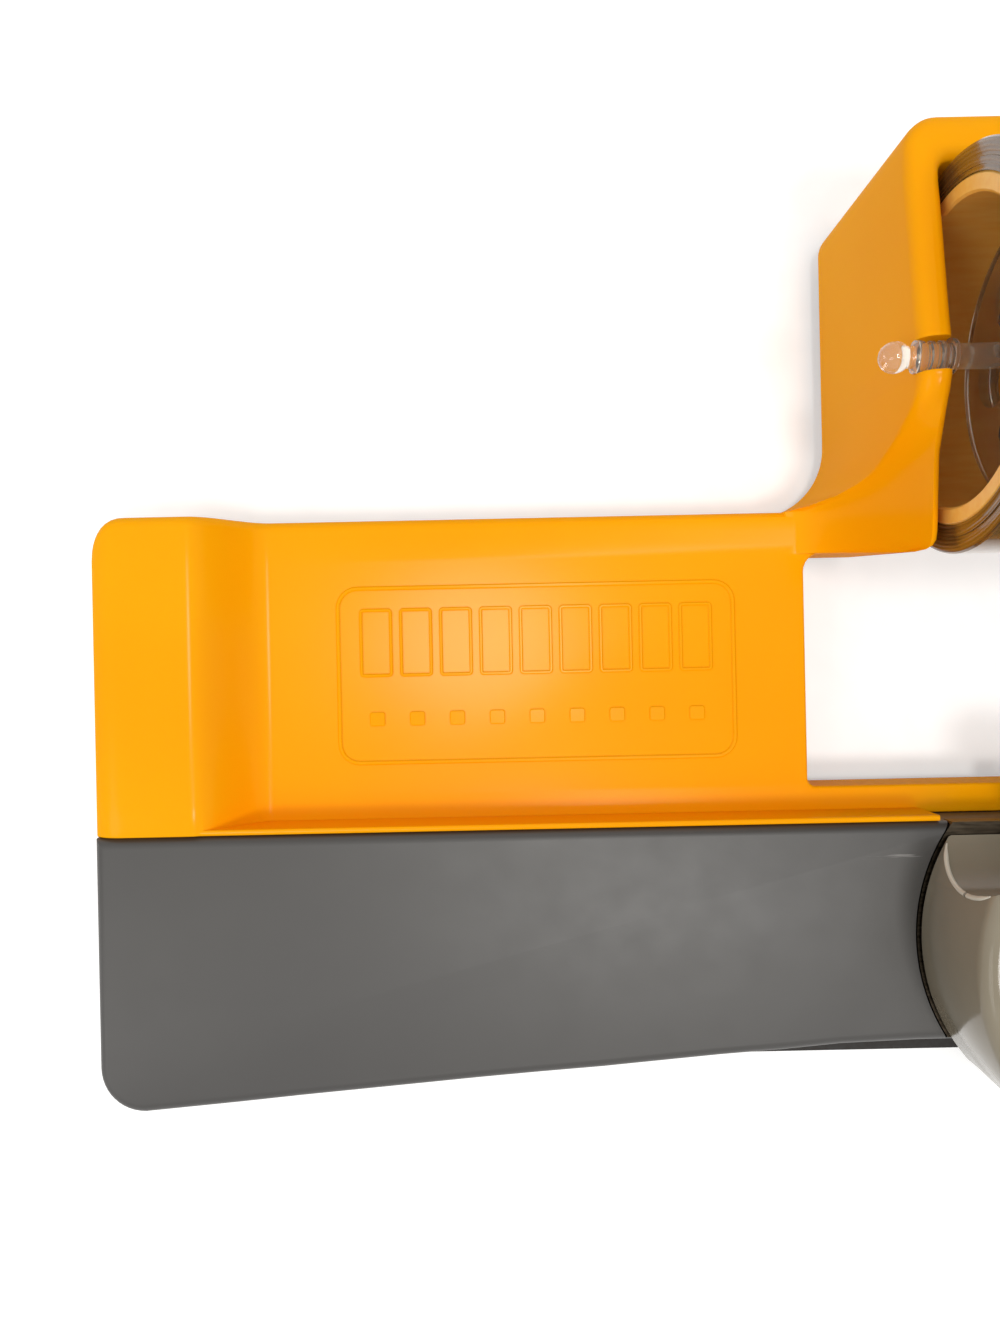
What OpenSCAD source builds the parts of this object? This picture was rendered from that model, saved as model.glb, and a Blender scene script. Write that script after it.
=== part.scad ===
// Tape splicer for narrow-gauge cine film, in millimetres.
// X runs along the film, +Y points to the back where the tape roll hangs, +Z is up.
// The origin is the middle of the footprint, on the surface that the feet stand on.

/* [Base beam] */
// Overall length of the splicer
body_l = 211; // [190:1:230]
// Height of the beam's top above the table
beam_h = 15; // [14:0.5:18]
// Depth of the beam at its ends
beam_d = 28.7; // [27:0.1:31]
// How far the beam's front edge bows in at the middle
beam_bow = 4.9; // [3:0.1:6]
// Radius of the beam's front corners
beam_corner = 4.7; // [3:0.1:7]
// Wall of the beam's moulding
beam_wall = 2.4; // [1.8:0.2:3]
// Distance from the beam's back face to the film line
film_off = 13.4; // [13:0.1:14]

/* [Deck] */
// Height of the low deck behind the beam
deck_h = 8.8; // [8:0.1:10]
// Depth of each wing of the deck
wing_d = 33.6; // [31:0.1:38]
// Wall of the deck's moulding
deck_wall = 2.4; // [1.8:0.2:3]
// Flat width of the raised end stop
stop_w = 10; // [7:0.5:12]
// Width of the slope from the end stop down to the wing
slope_w = 7.5; // [6:0.5:10]
// Width of the window between the wings
window_w = 58.2; // [56:0.2:62]
// Depth of the window
window_d = 25.7; // [23:0.1:28]
// Depth of the bar in front of the window
bar_d = 3.2; // [3:0.1:5]
// Radius of the window's corners
window_corner = 2; // [1:0.5:4]

/* [Roll well] */
// Room between the tape roll and each cheek
well_gap = 0.7; // [0.6:0.1:2]
// Depth of the well from the window to the back wall
well_d = 33.2; // [33.2:0.1:38]
// Thickness of the cheeks beside the roll
cheek_t = 2.8; // [2:0.2:4]
// Thickness of the back wall
back_t = 4.5; // [2.5:0.1:5]
// Height of the cheeks over the axle slot
cheek_h = 31; // [29.5:0.5:34]
// Radius of the well's back corners
well_corner = 4.5; // [3:0.5:6]
// Drop of the cheek's top from the slot to its ends
cheek_drop = 2.6; // [1:0.2:4]
// Reach of the flare that joins a cheek to its wing
flare_r = 8; // [5:0.5:9]

/* [Tape roll] */
// Outer radius of the tape roll
roll_r = 17.6; // [16:0.1:17.7]
// Width of the tape
tape_w = 43; // [30:0.5:43]
// Inner radius of the roll's core
core_r = 13.4; // [11:0.2:14]
// Wall of the roll's core
core_wall = 1.6; // [1:0.2:1.8]
// Height of the axle above the table
axle_z = 29.4; // [28.4:0.1:29.8]
// Distance from the well's front to the axle
axle_off = 15.2; // [14:0.1:15.2]
// Radius of the axle
axle_r = 1.2; // [1:0.1:1.4]
// Radius of the ball on each end of the axle
ball_r = 1.9; // [1.6:0.1:2.4]
// Gap around the axle in its slot
slot_gap = 0.3; // [0.2:0.05:0.4]

/* [Cutting head] */
// Radius of the round cutting head
head_r = 19.8; // [19:0.1:20.6]
// Distance from the beam's back face to the head's middle
head_off = 11.9; // [11.5:0.1:12.5]
// Height of the head's body
head_h = 13.7; // [13:0.1:16]
// Gap between the head and the film bed
head_gap = 0.3; // [0.2:0.05:0.5]
// Radius of the hollow along the head's back
scoop_r = 10.4; // [10:0.1:10.8]
// Thickness of the lifting lip
lip_t = 5; // [4:0.5:6]
// Radius of the hinge pin
pin_r = 1.25; // [1:0.05:1.5]
// Outer radius of the hinge knuckle and lugs
knuckle_r = 3.2; // [2.8:0.1:3.6]
// Width of the head's hinge knuckle
knuckle_w = 8; // [6:0.5:10]
// Width of each hinge lug
lug_w = 2.8; // [2.4:0.1:4]

/* [Press knob] */
// Radius of the press knob
knob_r = 9; // [8.5:0.5:9.5]
// Height of the knob above the head
knob_h = 9; // [8:0.5:10]
// Travel of the knob and its knives
knob_travel = 2.4; // [1.5:0.1:2.6]
// Radius of the ram under the knob
ram_r = 4; // [3:0.2:5]
// Wire radius of the return spring
wire_r = 0.3; // [0.2:0.05:0.35]
// Turns of the return spring
spring_turns = 3; // [2:1:3]

/* [Film bed] */
// Thickness of the steel bed
bed_t = 2; // [1.6:0.2:2.4]
// Width of the film
film_w = 8; // [7.5:0.1:8.4]
// Pitch of the film's perforations
frame_pitch = 4.234; // [3.8:0.001:4.3]
// Radius of a register pin
reg_pin_r = 0.45; // [0.3:0.05:0.5]

/* [Trimming knife] */
// Distance of the trimming knife from the middle
trim_x = 32; // [31:0.5:60]
// Width of the knife's arm
arm_w = 9; // [8:0.5:11]
// Thickness of the knife's arm
arm_t = 4.5; // [4:0.25:6]
// Thickness of the trimming blade
blade_t = 0.8; // [0.5:0.1:1]
// Radius of the arm's finger knob
finger_r = 4.2; // [3.5:0.1:4.5]

/* [Underside] */
// Height of the rubber feet below the cover
foot_h = 1.2; // [1:0.1:2]
// Radius of a rubber foot
foot_r = 5; // [4:0.5:6]
// Thickness of the bottom cover
cover_t = 2; // [1.6:0.2:2.4]

/* [Hidden] */
$fn = 96;
bore_gap = 0.05;
seat_gap = 0.3;
cover_z = foot_h + cover_t;
half_l = body_l / 2;
overall_d = head_r + head_off + bar_d + window_d + well_d + back_t;
head_y = head_r - overall_d / 2;
beam_back = head_y + head_off;
film_y = beam_back - film_off;
beam_front = beam_back - beam_d;
bar_back = beam_back + bar_d;
window_back = bar_back + window_d;
wing_back = beam_back + wing_d;
well_back = window_back + well_d;
cheek_in = tape_w / 2 + well_gap;
cheek_out = cheek_in + cheek_t;
axle_y = window_back + axle_off;
bow_r = (pow(half_l - beam_corner, 2) + pow(beam_bow, 2)) / (2 * beam_bow);
beam_mid_front = beam_front + beam_bow;
head_bottom = beam_h + head_gap;
head_top = head_bottom + head_h;
hinge_y = beam_back + 2;
hinge_z = beam_h + 6;
scoop_y = beam_back + 4.8;
scoop_z = beam_h + 8.7;
bed_r = head_r + 0.2;
bed_z = beam_h - bed_t;
cutter_half = film_w / 2 + 1;
plate_half = cutter_half + 0.9;
plate_t = 2;
pad_t = 1.5;
plate_top = head_bottom + pad_t + 0.1 + knob_travel + plate_t + 0.4;
blade_drop = plate_top - plate_t - head_bottom - 0.4;
trim_pivot_z = beam_h + 5;
trim_y = hinge_y;
slot_x = trim_x - arm_w / 2 + 1.6;
bed_screw_x = 0.8 * head_r;
bed_screw_l = beam_h - deck_h - 0.1;
knife_half = 12.2 / 19.8 * head_r;
pad_half = knife_half - 0.2;
lip_hollow_r = 7 / 19.8 * head_r;
lip_y = beam_mid_front - lip_hollow_r - 0.6;
foot_in = foot_r + 4;
anvil_half = arm_w / 2 + 1.3;
anvil_screws_at = [for (y = [film_y - 5, film_y + 5]) [trim_x + arm_w / 2 - 1.2, y]];
blade_screw_ys = [beam_mid_front + 8.8, beam_back - 6.8];
// Screws that hold the bottom cover: along the beam and at the wings' backs
cover_screws_at = [for (sx = [-1, 1]) for (p = [
  [half_l - 2 * stop_w, beam_back - beam_d / 2],
  [bed_r + 4.5, beam_back - film_off + 4.4],
  [half_l - 3 * stop_w, wing_back - foot_r - 2]
]) [sx * p[0], p[1]]];
feet_at = [for (sx = [-1, 1]) for (p = [
  [half_l - foot_in, beam_front + foot_in + 3],
  [half_l - foot_in, wing_back - foot_in]
]) [sx * p[0], p[1]]];
rear_feet_at = [for (sx = [-1, 1]) [sx * (cheek_in - foot_r - 1), well_back - foot_r - 2]];

// A rectangle from one corner to the other
module span(low, high) {
  translate(low) square(high - low);
}

// A block from one corner to the other
module block(low, high) {
  translate(low) cube(high - low);
}

// A cylinder along X, from x0 to x1
module rod_x(x0, x1, r) {
  translate([x0, 0, 0]) rotate([0, 90, 0]) cylinder(h = x1 - x0, r = r);
}

// Outline of the beam, taken in by the distance inset
module beam_outline(inset = 0) {
  c = beam_corner - inset;
  difference() {
    union() {
      span([-half_l + inset, beam_front + beam_corner], [half_l - inset, beam_back - inset]);
      span([-half_l + beam_corner, beam_front + inset], [half_l - beam_corner, beam_back - inset]);
      for (sx = [-1, 1])
        translate([sx * (half_l - beam_corner), beam_front + beam_corner]) circle(r = c);
    }
    translate([0, beam_mid_front - bow_r]) circle(r = bow_r + inset, $fn = 720);
  }
}

// Seat of the round steel bed in the beam's top
module bed_outline(gap = 0) {
  intersection() {
    translate([0, head_y]) circle(r = bed_r + gap);
    span([-half_l, beam_mid_front + 1.4 - gap], [half_l, beam_back + gap]);
  }
}

// Outline of the trimming anvil in the beam's top
module anvil_outline(gap = 0) {
  span([trim_x - anvil_half - gap, beam_mid_front + 2.6 - gap],
       [trim_x + anvil_half + gap, beam_back + gap]);
}

module screw_boss(p, z, h, r) {
  translate([p[0], p[1], z]) cylinder(h = h, r = r);
}

module base_beam() {
  color("dimgray") difference() {
    union() {
      difference() {
        translate([0, 0, cover_z]) linear_extrude(beam_h - cover_z) beam_outline();
        translate([0, 0, cover_z - 1])
          linear_extrude(beam_h - beam_wall - cover_z + 1) beam_outline(beam_wall);
      }
      // Solid seats under the bed and the anvil
      translate([0, 0, cover_z]) linear_extrude(bed_z - cover_z + 1) intersection() {
        translate([0, head_y]) circle(r = bed_r + 2);
        beam_outline(beam_wall / 2);
      }
      translate([0, 0, cover_z]) linear_extrude(bed_z - cover_z + 1) intersection() {
        strip(trim_x, anvil_half + 1.2);
        beam_outline(beam_wall / 2);
      }
      for (p = cover_screws_at)
        if (p[1] < beam_back) screw_boss(p, cover_z, beam_h - beam_wall / 2 - cover_z, 3.2);
    }
    translate([0, 0, bed_z]) linear_extrude(bed_t + 1) bed_outline(0.15);
    translate([0, 0, bed_z]) linear_extrude(bed_t + 1) anvil_outline(0.15);
    // Chip chute under the punches and the blade slots
    block([-3 * frame_pitch, film_y - cutter_half - 1, cover_z + 1.4],
          [3 * frame_pitch, film_y + cutter_half + 1, bed_z + 1]);
    block([slot_x - 0.8, beam_mid_front + 4.4, cover_z + 3], [slot_x + 0.8, beam_back - 3.4, beam_h + 1]);
    for (p = cover_screws_at)
      if (p[1] < beam_back) screw_boss(p, cover_z - 1, 8, 1.1);
    for (sx = [-1, 1]) screw_boss([sx * bed_screw_x, head_y], cover_z + 2, beam_h, 1.1);
    for (p = anvil_screws_at) screw_boss(p, cover_z + 2, beam_h, 0.9);
  }
}

// A strip of the given half width, centred on x
module strip(x, half) {
  span([x - half, beam_front], [x + half, beam_back]);
}

// Height of the deck's top, x millimetres from the splicer's left end
function wing_top(x) =
  x < stop_w ? beam_h - 0.5 * pow(1 - min(1, x / 4), 2) :
  x > stop_w + slope_w ? deck_h :
  deck_h + (beam_h - deck_h) * (1 + cos(180 * (x - stop_w) / slope_w)) / 2;

// Side view of the left wing: its top line less the depth down, from x0 to x1
module wing_profile(x0, x1, down, bottom) {
  xs = concat([x0], [for (x = [1:1:stop_w + slope_w]) if (x > x0 + 0.4 && x < x1 - 0.4) x], [x1]);
  polygon(concat(
    [[x1 - half_l, bottom], [x0 - half_l, bottom]],
    [for (x = xs) [x - half_l, wing_top(x) - down]]
  ));
}

module wing() {
  wing_end = half_l - window_w / 2;
  difference() {
    translate([0, wing_back, 0]) rotate([90, 0, 0])
      linear_extrude(wing_d - 0.05) wing_profile(0, wing_end, 0, cover_z);
    translate([0, wing_back - deck_wall, 0]) rotate([90, 0, 0])
      linear_extrude(wing_d - 2 * deck_wall)
        wing_profile(deck_wall, wing_end - deck_wall, deck_wall, cover_z - 1);
    // Rounded back corner of the end stop
    translate([-half_l, wing_back, cover_z - 1]) linear_extrude(beam_h)
      difference() {
        span([-1, -2], [2, 1]);
        translate([2, -2]) circle(r = 2);
      }
  }
  for (p = cover_screws_at)
    if (p[0] < 0 && p[1] > beam_back) difference() {
      screw_boss(p, cover_z, deck_h - deck_wall / 2 - cover_z, 3.2);
      screw_boss(p, cover_z - 1, 5, 1.1);
    }
}

// Raised outline round a row of plain film frames
module badge(cx, cy) {
  plate_w = 44;
  plate_h = 19.7;
  line = 0.45;
  rise = 0.25;
  translate([cx, cy, deck_h - 0.1]) {
    linear_extrude(rise + 0.1) difference() {
      rounded_rectangle(plate_w, plate_h, 2.4);
      rounded_rectangle(plate_w - 2 * line, plate_h - 2 * line, 2.4 - line);
    }
    for (i = [-4:4]) translate([i * 4.4, 3.6, 0]) linear_extrude(rise + 0.1) difference() {
      square([3.7, 7.6], center = true);
      square([3, 6.9], center = true);
    }
    for (i = [-4:4]) translate([i * 4.4, -4.8, 0]) linear_extrude(rise + 0.1)
      square([1.7, 1.6], center = true);
  }
}

module rounded_rectangle(w, h, r) {
  square([w, h - 2 * r], center = true);
  square([w - 2 * r, h], center = true);
  for (sx = [-1, 1]) for (sy = [-1, 1])
    translate([sx * (w / 2 - r), sy * (h / 2 - r)]) circle(r = r, $fn = 32);
}

// Side view of a cheek, in Y and Z, with its open slot for the axle
module cheek_profile() {
  slot_half = axle_r + slot_gap;
  mouth_r = 1.3;
  top = [for (i = [0:12]) let (t = i / 12)
    [window_back + t * (well_d + back_t), cheek_h - cheek_drop * pow(abs(2 * t - 1), 3)]];
  difference() {
    polygon(concat([[well_back + back_t, cover_z], [window_back, cover_z]], top));
    translate([axle_y, axle_z]) circle(r = slot_half);
    span([axle_y - slot_half, axle_z], [axle_y + slot_half, cheek_h + 1]);
    difference() {
      span([axle_y - slot_half - mouth_r, cheek_h - mouth_r - 0.1],
           [axle_y + slot_half + mouth_r, cheek_h + 1]);
      for (s = [-1, 1])
        translate([axle_y + s * (slot_half + mouth_r), cheek_h - mouth_r - 0.1]) circle(r = mouth_r);
    }
  }
}

module cheek() {
  difference() {
    translate([-cheek_out, 0, 0]) rotate([90, 0, 90]) linear_extrude(cheek_t) cheek_profile();
    corner_cut();
  }
}

// What the rounded back corner takes off the well's walls
module corner_cut() {
  y = well_back + back_t - well_corner;
  translate([0, 0, cover_z - 1]) linear_extrude(cheek_h) difference() {
    span([-cheek_out - 1, y], [-cheek_out + well_corner, y + well_corner + 1]);
    translate([-cheek_out + well_corner, y]) circle(r = well_corner);
  }
}

// Outline of the flare's foot between a cheek and the back of its wing
module flare_plan() {
  span([-cheek_out - flare_r, window_back], [-cheek_out + 0.5, wing_back]);
  difference() {
    span([-cheek_out - flare_r, wing_back - 1], [-cheek_out + 0.5, wing_back + flare_r]);
    translate([-cheek_out - flare_r, wing_back + flare_r]) circle(r = flare_r);
  }
}

// Concave flare from the wing up to the cheek's top: its side view within its plan
module flare() {
  levels = 10;
  z1 = cheek_h - cheek_drop;
  curve = [for (j = [0:levels]) let (t = j / levels)
    [-cheek_out - flare_r * pow(1 - t, 2.4), deck_h + (z1 - deck_h) * t]];
  intersection() {
    translate([0, wing_back + flare_r + 1, 0]) rotate([90, 0, 0])
      linear_extrude(wing_back + flare_r + 1 - window_back)
        polygon(concat([[-cheek_out + 0.5, z1], [-cheek_out + 0.5, cover_z],
                        [-cheek_out - flare_r, cover_z]], curve));
    translate([0, 0, cover_z]) linear_extrude(z1 - cover_z) flare_plan();
  }
}

module deck() {
  color("orange") {
    for (s = [0, 1]) mirror([s, 0, 0]) {
      wing();
      cheek();
      flare();
    }
    block([-window_w / 2 - 1, beam_back + 0.05, cover_z], [window_w / 2 + 1, bar_back, deck_h]);
    // Rounded front and back corners of the window
    for (s = [0, 1]) mirror([s, 0, 0]) translate([-window_w / 2, 0, cover_z])
      linear_extrude(deck_h - cover_z) {
        corner_fill([0, bar_back], 1, 1, 1);
        corner_fill([0, window_back], 1, -1, window_corner);
      }
    difference() {
      block([-cheek_in - 1, well_back, cover_z], [cheek_in + 1, well_back + back_t, cheek_h - cheek_drop]);
      for (s = [0, 1]) mirror([s, 0, 0]) corner_cut();
    }
    for (sx = [-1, 1]) badge(sx * (half_l - 46.7), beam_back + wing_d / 2 - 0.4);
  }
}

// Fills an inside corner at p with a concave fillet that opens towards (sx, sy)
module corner_fill(p, sx, sy, r) {
  translate(p) difference() {
    span([min(0, sx * r), min(0, sy * r)], [max(0, sx * r), max(0, sy * r)]);
    translate([sx * r, sy * r]) circle(r = r);
  }
}

// Outline of the roll well with its rounded back corners, taken in by the distance inset
module well_outline(inset = 0) {
  x = cheek_out - inset;
  y = well_back + back_t - inset;
  r = well_corner - inset;
  span([-x, window_back - 0.1], [x, y - r]);
  span([-x + r, window_back], [x - r, y]);
  for (sx = [-1, 1]) translate([sx * (x - r), y - r]) circle(r = r);
}

module cover_outline() {
  inset = 0.6;
  difference() {
    union() {
      span([-half_l + inset, beam_front + 8], [half_l - inset, wing_back - inset]);
      span([-half_l + 8, beam_front + inset], [half_l - 8, wing_back - inset]);
      for (sx = [-1, 1]) translate([sx * (half_l - 8), beam_front + 8]) circle(r = 8 - inset);
      well_outline(0.9);
    }
    span([-window_w / 2 - 0.4, bar_back - 0.4], [window_w / 2 + 0.4, window_back + 0.4]);
    span([-cheek_in - 0.6, window_back], [cheek_in + 0.6, well_back - 2 * foot_r - 3]);
  }
}

module bottom_cover() {
  color("black") difference() {
    translate([0, 0, foot_h]) linear_extrude(cover_t - 0.02) cover_outline();
    for (p = cover_screws_at) {
      screw_boss(p, foot_h - 1, cover_t + 2, 1.5);
      screw_boss(p, foot_h - 1, 2, 2.7);
    }
  }
}

module cover_screws() {
  color("silver") for (p = cover_screws_at) difference() {
    union() {
      screw_boss(p, foot_h + 0.1, 0.85, 2.4);
      screw_boss(p, foot_h + 0.1, deck_h - deck_wall - foot_h - 0.4, 1);
    }
    block([p[0] - 1.5, p[1] - 0.25, foot_h], [p[0] + 1.5, p[1] + 0.25, foot_h + 0.5]);
    block([p[0] - 0.25, p[1] - 1.5, foot_h], [p[0] + 0.25, p[1] + 1.5, foot_h + 0.5]);
  }
}

module rubber_feet() {
  color("dimgray") for (p = concat(feet_at, rear_feet_at)) screw_boss(p, 0, foot_h, foot_r);
}

// Places of the register pins along the film, on either side of the cut
pin_places = [for (i = [-2, -1, 1, 2]) i * frame_pitch];
perf_y = film_y - film_w / 2 + 1.3;

module film_bed() {
  color("lightsteelblue") difference() {
    union() {
      translate([0, 0, bed_z]) linear_extrude(bed_t) bed_outline();
      for (s = [0, 1]) mirror([s, 0, 0]) {
        x0 = knuckle_w / 2 + seat_gap;
        translate([0, hinge_y, hinge_z]) rod_x(x0, x0 + lug_w, knuckle_r);
        block([x0, beam_back - 1, bed_z], [x0 + lug_w, hinge_y + knuckle_r, hinge_z]);
        block([x0, beam_back + 0.05, deck_h + 0.05], [x0 + lug_w, hinge_y + knuckle_r, hinge_z]);
      }
    }
    for (s = [-1, 1])
      block([-knife_half - 0.3, film_y + s * cutter_half - 0.6, bed_z - 1],
            [knife_half + 0.3, film_y + s * cutter_half + 0.6, beam_h + 1]);
    for (x = pin_places) screw_boss([x, perf_y], bed_z - 1, bed_t + 2, reg_pin_r);
    for (i = [-2:1]) screw_boss([(i + 0.5) * frame_pitch, perf_y], bed_z - 1, bed_t + 2, 0.6);
    for (sx = [-1, 1]) {
      screw_boss([sx * bed_screw_x, head_y], bed_z - 1, bed_t + 2, 1.3);
      screw_boss([sx * bed_screw_x, head_y], bed_z + 0.8, bed_t, 2.3);
    }
    translate([0, hinge_y, hinge_z]) rod_x(-bed_r, bed_r, pin_r);
  }
}

// A slotted countersunk screw with its head's top at z
module flat_screw(p, z, head, shank, l) {
  difference() {
    union() {
      screw_boss(p, z - 0.9, 0.9, head);
      screw_boss(p, z - l, l, shank);
    }
    block([p[0] - head, p[1] - 0.25, z - 0.4], [p[0] + head, p[1] + 0.25, z + 1]);
  }
}

module bed_screws() {
  color("silver") for (sx = [-1, 1])
    flat_screw([sx * bed_screw_x, head_y], beam_h - 0.1, 2.1, 1.05, bed_screw_l);
}

module register_pins() {
  color("silver") for (x = pin_places)
    screw_boss([x, perf_y], bed_z, bed_t + 0.5, reg_pin_r);
}

module hinge_pin() {
  x1 = knuckle_w / 2 + seat_gap + lug_w + 0.6;
  color("silver") translate([0, hinge_y, hinge_z]) rod_x(-x1, x1, pin_r);
}

// Space inside the head for the ram, its plate and the pad
module head_hollow() {
  block([-knife_half - 1, film_y - plate_half - 0.5, head_bottom - 1],
        [knife_half + 1, film_y + plate_half + 0.5, plate_top]);
}

module head_body() {
  color([0.35, 0.33, 0.28, 0.6]) difference() {
    union() {
      translate([0, head_y, head_bottom]) cylinder(h = head_h, r = head_r);
      translate([0, hinge_y, hinge_z]) rod_x(-knuckle_w / 2, knuckle_w / 2, knuckle_r);
      block([-knuckle_w / 2, scoop_y - scoop_r - 2, hinge_z - knuckle_r],
            [knuckle_w / 2, hinge_y, hinge_z + knuckle_r]);
    }
    // Straight back, with a round hollow along it on both sides of the knuckle
    block([-half_l, beam_back + 0.4, 0], [-knuckle_w / 2, head_y + 2 * head_r, head_top + 1]);
    block([knuckle_w / 2, beam_back + 0.4, 0], [half_l, head_y + 2 * head_r, head_top + 1]);
    block([-half_l, hinge_y + knuckle_r, 0], [half_l, head_y + 2 * head_r, head_top + 1]);
    block([-knuckle_w, hinge_y - knuckle_r - 1, 0], [knuckle_w, head_y + 2 * head_r, hinge_z - knuckle_r]);
    block([-knuckle_w / 2, hinge_y - 1, hinge_z + knuckle_r],
          [knuckle_w / 2, head_y + 2 * head_r, head_top + 1]);
    for (s = [0, 1]) mirror([s, 0, 0])
      translate([0, scoop_y, scoop_z]) rod_x(knuckle_w / 2, half_l, scoop_r);
    translate([0, hinge_y, hinge_z]) rod_x(-half_l, half_l, pin_r + bore_gap);
    // Underside of the lifting lip, in front of the beam
    translate([0, lip_y, head_top - lip_t - lip_hollow_r]) rod_x(-half_l, half_l, lip_hollow_r);
    block([-half_l, head_y - head_r - 1, 0], [half_l, lip_y, head_top - lip_t]);
    head_hollow();
    translate([0, film_y, head_bottom]) cylinder(h = head_h + 1, r = ram_r + bore_gap);
  }
}

// Stiff pad that presses the tape on the film round the punches
module film_pad() {
  color("black") difference() {
    block([-pad_half, film_y - cutter_half + 0.8, head_bottom + 0.1],
          [pad_half, film_y + cutter_half - 0.8, head_bottom + 0.1 + pad_t]);
    for (i = [-2:1]) screw_boss([(i + 0.5) * frame_pitch, perf_y], 0, head_top, 0.75);
    for (x = pin_places) screw_boss([x, perf_y], 0, head_bottom + 1, 0.9);
  }
  // Posts that hang the pad from the roof of the head's hollow, through the ram plate
  color("black") for (sx = [-1, 1])
    screw_boss([sx * 10.5, film_y], head_bottom + pad_t, plate_top - head_bottom - pad_t, 0.8);
}

module spring_seat() {
  color("silver") difference() {
    screw_boss([0, film_y], head_top, 0.5, knob_r - 3.2);
    screw_boss([0, film_y], head_top - 1, 3, ram_r + seat_gap);
  }
}

knob_base = head_top + knob_travel + 0.6;
knob_roof = head_top + knob_h - 1.8;

module press_knob() {
  color("orange") difference() {
    union() {
      translate([0, film_y, knob_base]) cylinder(h = knob_h - knob_travel - 1.6, r = knob_r);
      translate([0, film_y, knob_base + knob_h - knob_travel - 1.6])
        cylinder(h = 1, r1 = knob_r, r2 = knob_r - 1);
    }
    screw_boss([0, film_y], 0, knob_roof, knob_r - 1.8);
    screw_boss([0, film_y], 0, head_top + 2 * knob_h, 1.3);
    screw_boss([0, film_y], knob_roof + 0.8, 2 * knob_h, 2.5);
  }
}

module ram() {
  color("silver") difference() {
    union() {
      screw_boss([0, film_y], plate_top, knob_roof - plate_top, ram_r);
      screw_boss([0, film_y], plate_top - plate_t, plate_t + 1, ram_r / 2);
    }
    screw_boss([0, film_y], knob_roof - 6, 8, 1);
  }
}

module ram_plate() {
  color("silver") difference() {
    block([-knife_half - 0.4, film_y - plate_half, plate_top - plate_t],
          [knife_half + 0.4, film_y + plate_half, plate_top - 0.02]);
    screw_boss([0, film_y], 0, head_top, ram_r / 2 + 0.01);
    for (sx = [-1, 1]) screw_boss([sx * 10.5, film_y], 0, head_top, 1.1);
    for (i = [-2:1]) screw_boss([(i + 0.5) * frame_pitch, perf_y], 0, head_top, 0.45);
  }
}

// Two blades that cut the tape along the film's edges
module tape_knives() {
  color("lightgray") for (s = [-1, 1]) {
    y = film_y + s * cutter_half;
    translate([-knife_half, y, 0]) rotate([90, 0, 90]) linear_extrude(2 * knife_half) polygon([
      [-0.4, plate_top - plate_t], [-0.4, plate_top - plate_t - blade_drop + 1],
      [0, plate_top - plate_t - blade_drop], [0.4, plate_top - plate_t - blade_drop + 1],
      [0.4, plate_top - plate_t]
    ]);
  }
}

module punch_pins() {
  color("silver") for (i = [-2:1])
    screw_boss([(i + 0.5) * frame_pitch, perf_y], plate_top - plate_t - blade_drop,
      plate_t + blade_drop - 0.02, 0.45);
}

module knob_screw() {
  color("silver") flat_screw([0, film_y], knob_roof + 1.75, 2.2, 1, 6.5);
}

// A round wire wound up Z, one ring of six points for each step
module coil(r, wire, z0, z1, turns) {
  steps = turns * 8;
  sides = 6;
  points = [for (i = [0:steps]) let (a = 360 * turns * i / steps, z = z0 + (z1 - z0) * i / steps)
    for (k = [0:sides - 1]) let (b = 360 * k / sides)
      [(r + wire * cos(b)) * cos(a), (r + wire * cos(b)) * sin(a), z + wire * sin(b)]];
  skin = [for (i = [0:steps - 1]) for (k = [0:sides - 1]) let (m = (k + 1) % sides)
    each [[i * sides + k, i * sides + m, (i + 1) * sides + m],
          [i * sides + k, (i + 1) * sides + m, (i + 1) * sides + k]]];
  polyhedron(points, concat([[for (k = [0:sides - 1]) sides - 1 - k]],
    [for (f = skin) [f[0], f[1], f[2]]], [[for (k = [0:sides - 1]) steps * sides + k]]));
}

module return_spring() {
  z0 = head_top + 0.5 + wire_r + 0.05;
  z1 = knob_roof - wire_r - 0.05;
  echo(spring_gap = (z1 - z0) / spring_turns - 2 * wire_r);
  color("silver") translate([0, film_y, 0]) coil(ram_r + 1.6, wire_r, z0, z1, spring_turns);
}

// Clear axle with a ball on each end, a collar on either side of each cheek and two hub discs
module axle() {
  ball_x = cheek_out + 2.3;
  collar_t = 0.4;
  color([0.85, 0.85, 0.8, 0.5]) translate([0, axle_y, axle_z]) {
    rod_x(-ball_x, ball_x, axle_r);
    for (s = [0, 1]) mirror([s, 0, 0]) {
      translate([ball_x, 0, 0]) sphere(r = ball_r);
      translate([cheek_out + 0.15, 0, 0]) rod_x(0, collar_t, axle_r + 0.7);
      translate([cheek_in - 0.15 - collar_t, 0, 0]) rod_x(0, collar_t, axle_r + 0.7);
      translate([tape_w / 2 - 8, 0, 0]) difference() {
        rod_x(-1, 1, core_r - bore_gap);
        for (a = [0:60:300]) rotate([a, 0, 0]) translate([0, 7.4, 0]) rod_x(-2, 2, 2.8);
      }
    }
  }
}

module tape_core() {
  color("wheat") translate([0, axle_y, axle_z]) difference() {
    rod_x(-tape_w / 2, tape_w / 2, core_r + core_wall);
    rod_x(-tape_w / 2 - 1, tape_w / 2 + 1, core_r);
  }
}

module tape_roll() {
  color("saddlebrown") translate([0, axle_y, axle_z]) difference() {
    rod_x(-tape_w / 2, tape_w / 2, roll_r);
    rod_x(-tape_w / 2 - 1, tape_w / 2 + 1, core_r + core_wall + 0.01);
  }
}

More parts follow.
